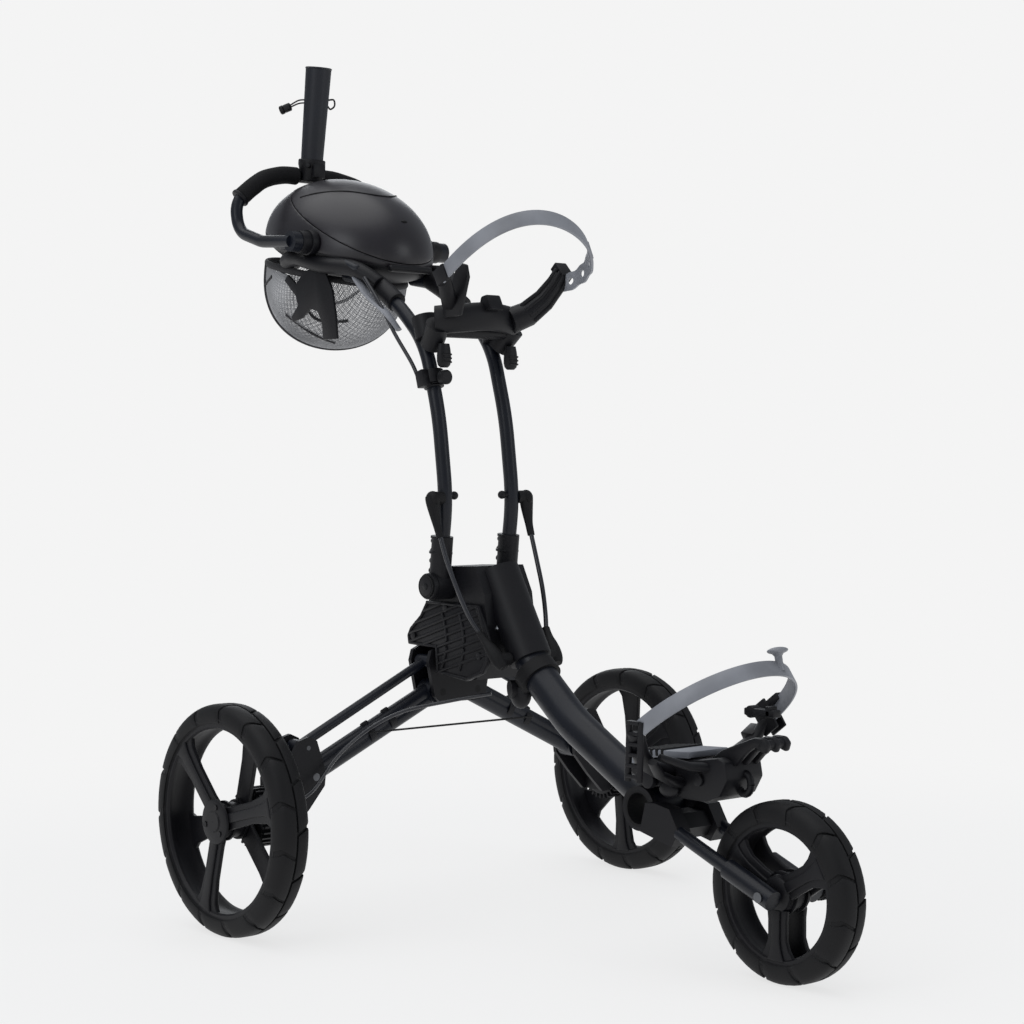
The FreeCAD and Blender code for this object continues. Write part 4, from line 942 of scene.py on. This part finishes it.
nylon("ribbed_arm", arm, "upper_frame", 1.2)

# ---------------------------------------------------------------- latches and tube clamp
# Rounded thumb latches hang under the crossbar, one at each tube. A split clamp below the near one
# is tightened with a small knob.
for side, sign in RIGHT_AND_LEFT:
    middle = boxed(f"bracket_latch_{side}")[0]
    latch = bmesh.new()
    bar(latch, [middle + Vector((0, 0, z * MM)) for z in (15, 8, 0, -8, -13, -16)],
        [8, 9.5, 10.5, 10.5, 9, 5.5], 28, 0.68, Vector((0, 1, 0)))
    for z in (-9, -4, 1):
        bar(latch, [middle + Vector((-7, 6.8, z)) * MM, middle + Vector((7, 6.8, z)) * MM], [1.3], 10)
    nylon(f"thumb_latch_{side}", latch, f"latch_{side}", 0, [f"bracket_latch_{side}"])
clamp = bmesh.new()
clamp_up = (at(0, 32, 745) - at(0, 60, 648)).normalized()
clamp_middle = at(57, 46, 700)
bar(clamp, [clamp_middle + clamp_up * (z * MM) for z in (-9, 9)], [15.5], 32)
for z in (-14, -11):
    bar(clamp, [clamp_middle + clamp_up * (z * MM), clamp_middle + clamp_up * ((z + 1.8) * MM)], [13.4], 28)
block(clamp, clamp_middle + Vector((17, 2, -2)) * MM, (13, 15, 22), Matrix.Rotation(math.radians(16), 4, "X"))
nylon("split_clamp", clamp, "upper_frame", 1.0, ["tube_clamp"])
knob = bmesh.new()
knob_middle = boxed("clamp_knob")[0]
bar(knob, [knob_middle + Vector((0, y * MM, 0)) for y in (-6, -4, 4, 6)], [8, 9.6, 9.6, 7.5], 28, 1.0)
nylon("clamp_knob_body", knob, "clamp_screw", 0, ["clamp_knob"])


# ---------------------------------------------------------------- console base and lid
# A domed storage console in satin charcoal. Its thin shells meet along a sloping seam, and the lid
# turns on its low front end. A thin dark line laid on top, painted shade for a shallow groove, outlines the
# inset panel.
satin_charcoal = finish("satin_charcoal", (0.0065, 0.005, 0.009), 0.38, 0.0008, 0.00006,
                        fixed=(("Coat Weight", 0.15), ("Coat Roughness", 0.3)))
POD_MIDDLE = at(0, -215, 892)
POD_LEAN = Matrix.Rotation(math.radians(-15.6), 4, "X")
POD_HALF_WIDE = 105.0
POD_HALF_LONG = 143.0
LID_HIGH = 93.0
BASE_DEEP = 42.0
LID_FRONT = at(0, -77, 860)
LID_SLOPE = Matrix.Rotation(math.radians(-30.4), 4, "X")
LID_REAR = LID_FRONT + LID_SLOPE @ Vector((0, -0.240, 0))
SHELL = 3.0
SEAM = 0.8


def pod_shell(high, seam, around=120, up=36):
    """Half an ellipsoid above or below the pod's seam, as an open surface."""
    shell = bmesh.new()
    rings = []
    for level in range(up):
        rise = math.pi / 2 * level / up
        ring = []
        for step in range(around):
            turn = 2 * math.pi * step / around
            spot = Vector((POD_HALF_WIDE * math.cos(turn) * math.cos(rise),
                           POD_HALF_LONG * math.sin(turn) * math.cos(rise),
                           high * math.sin(rise) + seam)) * MM
            ring.append(shell.verts.new(POD_MIDDLE + POD_LEAN @ spot))
        rings.append(ring)
    for one, other in zip(rings, rings[1:]):
        for step in range(around):
            nxt = (step + 1) % around
            shell.faces.new((one[step], one[nxt], other[nxt], other[step]))
    crest = shell.verts.new(POD_MIDDLE + POD_LEAN @ (Vector((0, 0, high + seam)) * MM))
    for step in range(around):
        shell.faces.new((rings[-1][step], rings[-1][(step + 1) % around], crest))
    return shell


def sliced(shell, place, normal, keep_above):
    """Cut an open surface with a plane and keep one side."""
    geometry = shell.verts[:] + shell.edges[:] + shell.faces[:]
    bmesh.ops.bisect_plane(shell, geom=geometry, plane_co=place, plane_no=normal,
                           clear_inner=keep_above, clear_outer=not keep_above)


def walled(name, shell, below=False):
    """Give an open surface the shells' wall, inwards."""
    bmesh.ops.recalc_face_normals(shell, faces=shell.faces)
    face = max(shell.faces, key=lambda item: item.calc_area())
    away = face.calc_center_median() - POD_MIDDLE
    if face.normal.dot(away) < 0:
        bmesh.ops.reverse_faces(shell, faces=shell.faces)
    mesh = bpy.data.meshes.new(name)
    shell.to_mesh(mesh)
    shell.free()
    piece = bpy.data.objects.new(name, mesh)
    bpy.context.collection.objects.link(piece)
    wall = piece.modifiers.new("wall", "SOLIDIFY")
    wall.thickness = SHELL * MM
    wall.offset = -1
    wall.use_even_offset = True
    plain(piece)
    return piece


LID_NORMAL = LID_SLOPE @ Vector((0, 0, 1))
LID_BACK = LID_SLOPE @ Vector((0, 1, 0))
lid = pod_shell(LID_HIGH, SEAM)
sliced(lid, LID_FRONT, LID_NORMAL, True)
sliced(lid, LID_REAR, LID_BACK, True)
fitted(walled("lid_shell", lid), satin_charcoal, "lid", 0.8, ["console_lid"])

panel_rim = pod_shell(LID_HIGH, 0)
sliced(panel_rim, LID_FRONT - LID_NORMAL * 1.2 * MM, LID_NORMAL, False)
fitted(walled("console_side_panel", panel_rim), satin_charcoal, "upper_frame", 0.8)
rear_panel = pod_shell(LID_HIGH, 0)
sliced(rear_panel, LID_REAR - LID_BACK * 1.2 * MM, LID_BACK, False)
sliced(rear_panel, LID_FRONT - LID_NORMAL * 1.2 * MM, LID_NORMAL, True)
fitted(walled("console_rear_panel", rear_panel), satin_charcoal, "upper_frame", 0.8)
bowl = pod_shell(-BASE_DEEP, 0)
fitted(walled("console_bowl", bowl), moulded_nylon, "upper_frame", 0.6, ["console_base"])


def on_lid(x, y, lift=0.0):
    """A place on the dome above a place in plan, in metres."""
    lean = math.radians(-15.6)
    best = None
    for step in range(181):
        along = -POD_HALF_LONG + step * 2 * POD_HALF_LONG / 180
        room = 1 - (x / POD_HALF_WIDE) ** 2 - (along / POD_HALF_LONG) ** 2
        if room > 0:
            high = LID_HIGH * math.sqrt(room) + SEAM + lift
            spot_y = along * math.cos(lean) - high * math.sin(lean) - 215
            spot_z = along * math.sin(lean) + high * math.cos(lean) + 892
            if best is None or abs(spot_y - y) < abs(best[0] - y):
                best = (spot_y, spot_z)
    return at(x, best[0], best[1])


# The groove is a thin dark bar laid on the dome rather than cut into it: painted shade along the groove.
groove = bmesh.new()
arch = eased([on_lid(x, y) for x, y in ((-78, -222), (-66, -194), (-44, -162), (-20, -139), (0, -133),
                                        (20, -139), (44, -162), (66, -194), (78, -222))], 8)
bar(groove, arch, [1.3], 10)
fitted(started("lid_groove_painted_shade", groove), dark_ring, "lid")
# The slot is a flat dark lump on the dome, not a hollow: painted shade for the slot's recess.
slot = bmesh.new()
ball(slot, on_lid(-4, -92), (5.5, 2.2, 1.6), LID_SLOPE)
fitted(started("lid_slot_painted_shade", slot), dark_ring, "lid")
hinge = bmesh.new()
bar(hinge, [at(x, -74, 852) for x in (-36, -34, 34, 36)], [3, 5, 5, 3], 20)
nylon("lid_hinge_barrel", hinge, "upper_frame")

# ---------------------------------------------------------------- arms beneath the console
# Nylon arms carry the console and its handle. The long rounded grips on them are buttons, and
# brackets wrap the ends of the upper tubes.
blue_nylon = finish("cool_nylon", (0.008, 0.010, 0.016), 0.42, 0.0009, 0.0001,
                    fixed=(("Specular IOR Level", 0.35),))
for side, sign in RIGHT_AND_LEFT:
    cradle = bmesh.new()
    arm_line = places(((76, -250, 868), (92, -210, 872), (92, -150, 858), (78, -96, 850), (62, -62, 828)),
                      sign)
    bar(cradle, eased(arm_line, 6),
        [13, 15, 16, 16, 15, 15, 15, 14], 24, 0.8)
    disc(cradle, at(sign * 96, -168, 889), 17.5, 10.0, Vector((sign, 0, 0)), 40)
    disc(cradle, at(sign * 105.5, -168, 889), 15.5, 14.8, Vector((sign, 0, 0)), 40)
    wrap = [at(sign * 57, y, z) for y, z in ((-100, 842), (-64, 824), (-30, 802))]
    bar(cradle, eased(wrap, 4), [13.5], 28)
    nylon(f"console_arm_{side}", cradle, "upper_frame", 0.5)
    button = bmesh.new()
    bar(button, eased(places(((108, -226, 890), (108, -206, 890), (108, -192, 887)), sign), 4),
        [5, 8, 8.5, 8.5, 8.5, 8, 7, 5, 3], 20, 0.9)
    fitted(started(f"handle_button_{side}", button), blue_nylon, "upper_frame")

# ---------------------------------------------------------------- net pouch
# A knitted grey mesh pouch hangs under the console from a dark bound rim. A binding hoops under its
# belly, elastic cords draw it in, and a flat Y-shaped stay holds it off the tubes.
net_grey = finish("net_grey", (0.36, 0.365, 0.38), 0.7, 0.0006, 0.0001)
binding = finish("net_binding", (0.015, 0.015, 0.018), 0.75, 0.0008, 0.0002)
NET_MIDDLE = at(0, -245, 858)
NET_LEAN = Matrix.Rotation(math.radians(-12), 4, "X")
NET_SIZES = Vector((87.0, 121.0, 110.0))
NET_PITCH = 2.5


def strand_tree():
    """Edges of a piece turned into round strands."""
    tree = new_tree("strands", [("Radius", "NodeSocketFloat"), ("Material", "NodeSocketMaterial")])
    nodes = tree.nodes
    link = tree.links.new
    inlet = nodes.new("NodeGroupInput")
    path = nodes.new("GeometryNodeMeshToCurve")
    section = nodes.new("GeometryNodeCurvePrimitiveCircle")
    section.inputs["Resolution"].default_value = 3
    spun = nodes.new("GeometryNodeCurveToMesh")
    link(inlet.outputs["Geometry"], path.inputs["Mesh"])
    link(inlet.outputs["Radius"], section.inputs["Radius"])
    link(path.outputs["Curve"], spun.inputs["Curve"])
    link(section.outputs["Curve"], spun.inputs["Profile Curve"])
    finish_tree(tree, inlet, spun.outputs["Mesh"])
    return tree


def on_net(across, along):
    """A place on the pouch's skin. Both shares run from -1 to 1 over the rim's ellipse."""
    reach = min(math.hypot(across, along), 1.0)
    fall = reach * math.pi / 2
    way = Vector((across, along)) / max(math.hypot(across, along), 1e-6)
    sag = 1 - 0.10 * (along + 0.2)
    spot = Vector((NET_SIZES.x * math.sin(fall) * way.x, NET_SIZES.y * math.sin(fall) * way.y,
                   -NET_SIZES.z * math.cos(fall) ** 0.8 * sag))
    return NET_MIDDLE + NET_LEAN @ (spot * MM)


net = bmesh.new()
COLUMNS = int(2 * NET_SIZES.x * 1.45 / NET_PITCH)
ROWS = int(2 * NET_SIZES.y * 1.45 / NET_PITCH)
knots = {}
for column in range(COLUMNS + 1):
    for row in range(ROWS + 1):
        across = 2 * column / COLUMNS - 1
        along = 2 * row / ROWS - 1
        if math.hypot(across, along) <= 1.0:
            knots[column, row] = net.verts.new(on_net(across, along))
for (column, row), knot in knots.items():
    for neighbour in ((column + 1, row), (column, row + 1)):
        if neighbour in knots:
            net.edges.new((knot, knots[neighbour]))
strands = started("net_mesh", net)
grown(strands, strand_tree(), radius=0.46 * MM, material=net_grey)
fitted(strands, net_grey, "upper_frame", 0, ["net_pouch"])

edge = bmesh.new()
rim = [on_net(math.cos(math.radians(step * 6)), math.sin(math.radians(step * 6))) for step in range(61)]
bar(edge, rim, [3.0], 12, 1.6)
hoop = [on_net(0.80 * (step / 30 - 1), -0.60 * (step / 30 - 1)) for step in range(61)]
bar(edge, hoop, [3.2], 12)
fitted(started("net_bindings", edge), binding, "upper_frame")
elastics = bmesh.new()
for points in (((-0.9, -0.3), (-0.6, -0.5), (-0.2, -0.75)), ((0.95, 0.2), (0.6, 0.35), (0.35, 0.62)),
               ((0.55, -0.8), (0.72, -0.55), (0.93, -0.3)), ((0.2, 0.3), (0.45, 0.2), (0.68, -0.02))):
    bar(elastics, eased([on_net(a * 0.97, b * 0.97) for a, b in points], 8), [2.4], 10)
fitted(started("net_elastics", elastics), binding, "upper_frame")
stay = bmesh.new()
STAY = [(-240, 842), (-232, 850), (-212, 836), (-194, 852), (-168, 856), (-142, 846), (-128, 824),
        (-120, 790), (-116, 756), (-148, 756), (-152, 780), (-162, 796), (-180, 800), (-198, 788),
        (-218, 784), (-224, 790), (-208, 806), (-212, 818)]
slab(stay, STAY, 89, 93)
nylon("net_stay_plate", stay, "upper_frame", 1.2)
ties = bmesh.new()
for points, radius in ((((78, -92, 838), (82, -60, 812), (80, -22, 786), (74, -4, 764)), 7.0),
                       (((70, -286, 868), (78, -262, 850), (80, -236, 838), (76, -214, 824)), 6.0)):
    bar(ties, eased(places(points), 6), [radius], 16, 0.45)
fitted(started("silicone_ties", ties), silicone, "upper_frame")

# ---------------------------------------------------------------- handle and its foam grips
# A bent alloy tube rises behind the console, hinged on its two arms. Closed-cell foam grips cover
# its top, with a nylon ring where the foam ends and the bare tube begins.
dress(painted_alloy, "handle_tube")
foam = finish("foam_grip", (0.008, 0.008, 0.009), 0.75, 0.0011, 0.0003, cells=True,
              fixed=(("Specular IOR Level", 0.2),))
GRIP_ROUTE = [(20, -312, 1000.5), (45, -313, 1000), (80, -306, 991), (104, -302, 977), (121, -305, 962)]
for side, sign in RIGHT_AND_LEFT:
    grip = bmesh.new()
    route = eased(places(GRIP_ROUTE, sign), 8)
    radii = [12.6 + 0.08 * math.sin(number * 0.9) for number in range(len(route))]
    radii[0] = 11.2
    radii[-1] = 11.0
    bar(grip, route, radii, 28)
    fitted(started(f"foam_grip_{side}", grip), foam, "handle")
    ring = bmesh.new()
    along = (route[-1] - route[-3]).normalized()
    disc(ring, route[-1] - along * 0.001, 13.8, 5.0, along, 32)
    nylon(f"grip_ring_{side}", ring, "handle", 1.2)
    if sign > 0:
        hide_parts("handle_grips")

# ---------------------------------------------------------------- umbrella tube
# A slightly flared nylon tube stands on the handle in a stepped collar. A thin draw cord passes
# through it near the top, with a sprung cord lock on one side and a small loop on the other.
dress(blue_nylon, "umbrella_tube")
UMBRELLA_FOOT = at(0, -303, 1024)
UMBRELLA_UP = Vector((0, 17, 130)).normalized()
collar = bmesh.new()
bar(collar, [UMBRELLA_FOOT + UMBRELLA_UP * (rise * MM) for rise in (-31, -28, -12, -6, 0, 1)],
    [17, 18, 18, 19.5, 19.5, 18], 40)
block(collar, UMBRELLA_FOOT + Vector((0, 15, -17)) * MM, (20, 9, 20))
disc(collar, UMBRELLA_FOOT + Vector((12, 10, -10)) * MM, 3.5, 8, Vector((0.8, 0.6, 0)), 16)
nylon("umbrella_collar_body", collar, "handle", 1.0, ["umbrella_collar"])
lip = bmesh.new()
rim_ring = [UMBRELLA_FOOT + UMBRELLA_UP * 0.1305 + Matrix.Rotation(math.radians(step * 10), 4, UMBRELLA_UP)
            @ Vector((0.0178, 0, 0)) for step in range(37)]
bar(lip, rim_ring, [1.5], 10)
fitted(started("umbrella_tube_lip", lip), blue_nylon, "handle")
lock_middle = boxed("cord_lock")[0]
cord_mouth = UMBRELLA_FOOT + UMBRELLA_UP * 0.084
draw = bmesh.new()
lock_way = Vector((0.6, -0.7, -0.35)).normalized()
for shift in (2.2, -2.2):
    bar(draw, eased([cord_mouth + Vector((13, -9, shift)) * MM,
                     cord_mouth + Vector((20, -17, shift - 1)) * MM,
                     lock_middle - lock_way * 0.004 + Vector((0, 0, shift * 0.6)) * MM], 6), [1.1], 10)
loop_points = [(-14, 8, 2), (-22, 12, 3), (-25, 10, -5), (-20, 7, -10), (-15, 7, -6)]
bar(draw, eased([cord_mouth + Vector(place) * MM for place in loop_points], 6), [1.3], 10)
fitted(started("draw_cord", draw), binding, "handle")
lock = bmesh.new()
bar(lock, [lock_middle + lock_way * (share * MM) for share in (-8, -7, 2, 2.6, 3.2, 8, 9)],
    [4.5, 6, 6, 4, 6.4, 6.4, 5], 24)
nylon("cord_lock_body", lock, "handle", 0.4, ["cord_lock"])

# ---------------------------------------------------------------- brake lever, cable and stay wire
# A lever under the console pulls a jacketed cable, and a second run of it follows the near leg to
# the drum. A thin wire stays that leg against the spine.
lever = bmesh.new()
bar(lever, eased(places(((84, -118, 860), (85, -100, 856), (84, -86, 851), (84, -79, 850))), 4),
    [6.4, 7.0, 7.2, 7.2, 7.0, 6.8, 6.6, 6.4, 6.2, 6, 5.6, 4.6, 3.4], 24, 0.8)
fitted(started("brake_lever_body", lever), blue_nylon, "brake_handle", 0, ["brake_lever"])
cable = bmesh.new()
lever_line = [at(84, -66, 836), at(83, -34, 800), at(80, -4, 758), at(76, 24, 722), at(75, 36, 704)]
bar(cable, eased(lever_line, 8), [2.6], 14)
fitted(started("lever_cable_run", cable), jacket, "upper_frame", 0, ["lever_cable"])
cable = bmesh.new()
brake_line = eased(places(((24, 126, 290), (62, 88, 280), (106, 46, 266), (150, 28, 244), (200, 30, 214),
                           (246, 40, 176), (276, 34, 160))), 8)
bar(cable, brake_line, [2.4], 14)
cable = fitted(started("brake_cable_run", cable), jacket, None, 0, ["brake_cable"])
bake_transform(cable)
wire = bmesh.new()
wire_line = [at(24, 208, 268).lerp(at(146, 26, 240), step / 24) for step in range(25)]
bar(wire, wire_line, [1.3], 10)
wire = fitted(started("stay_wire_run", wire), dark_ring, None, 0, ["stay_wire"])
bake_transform(wire)
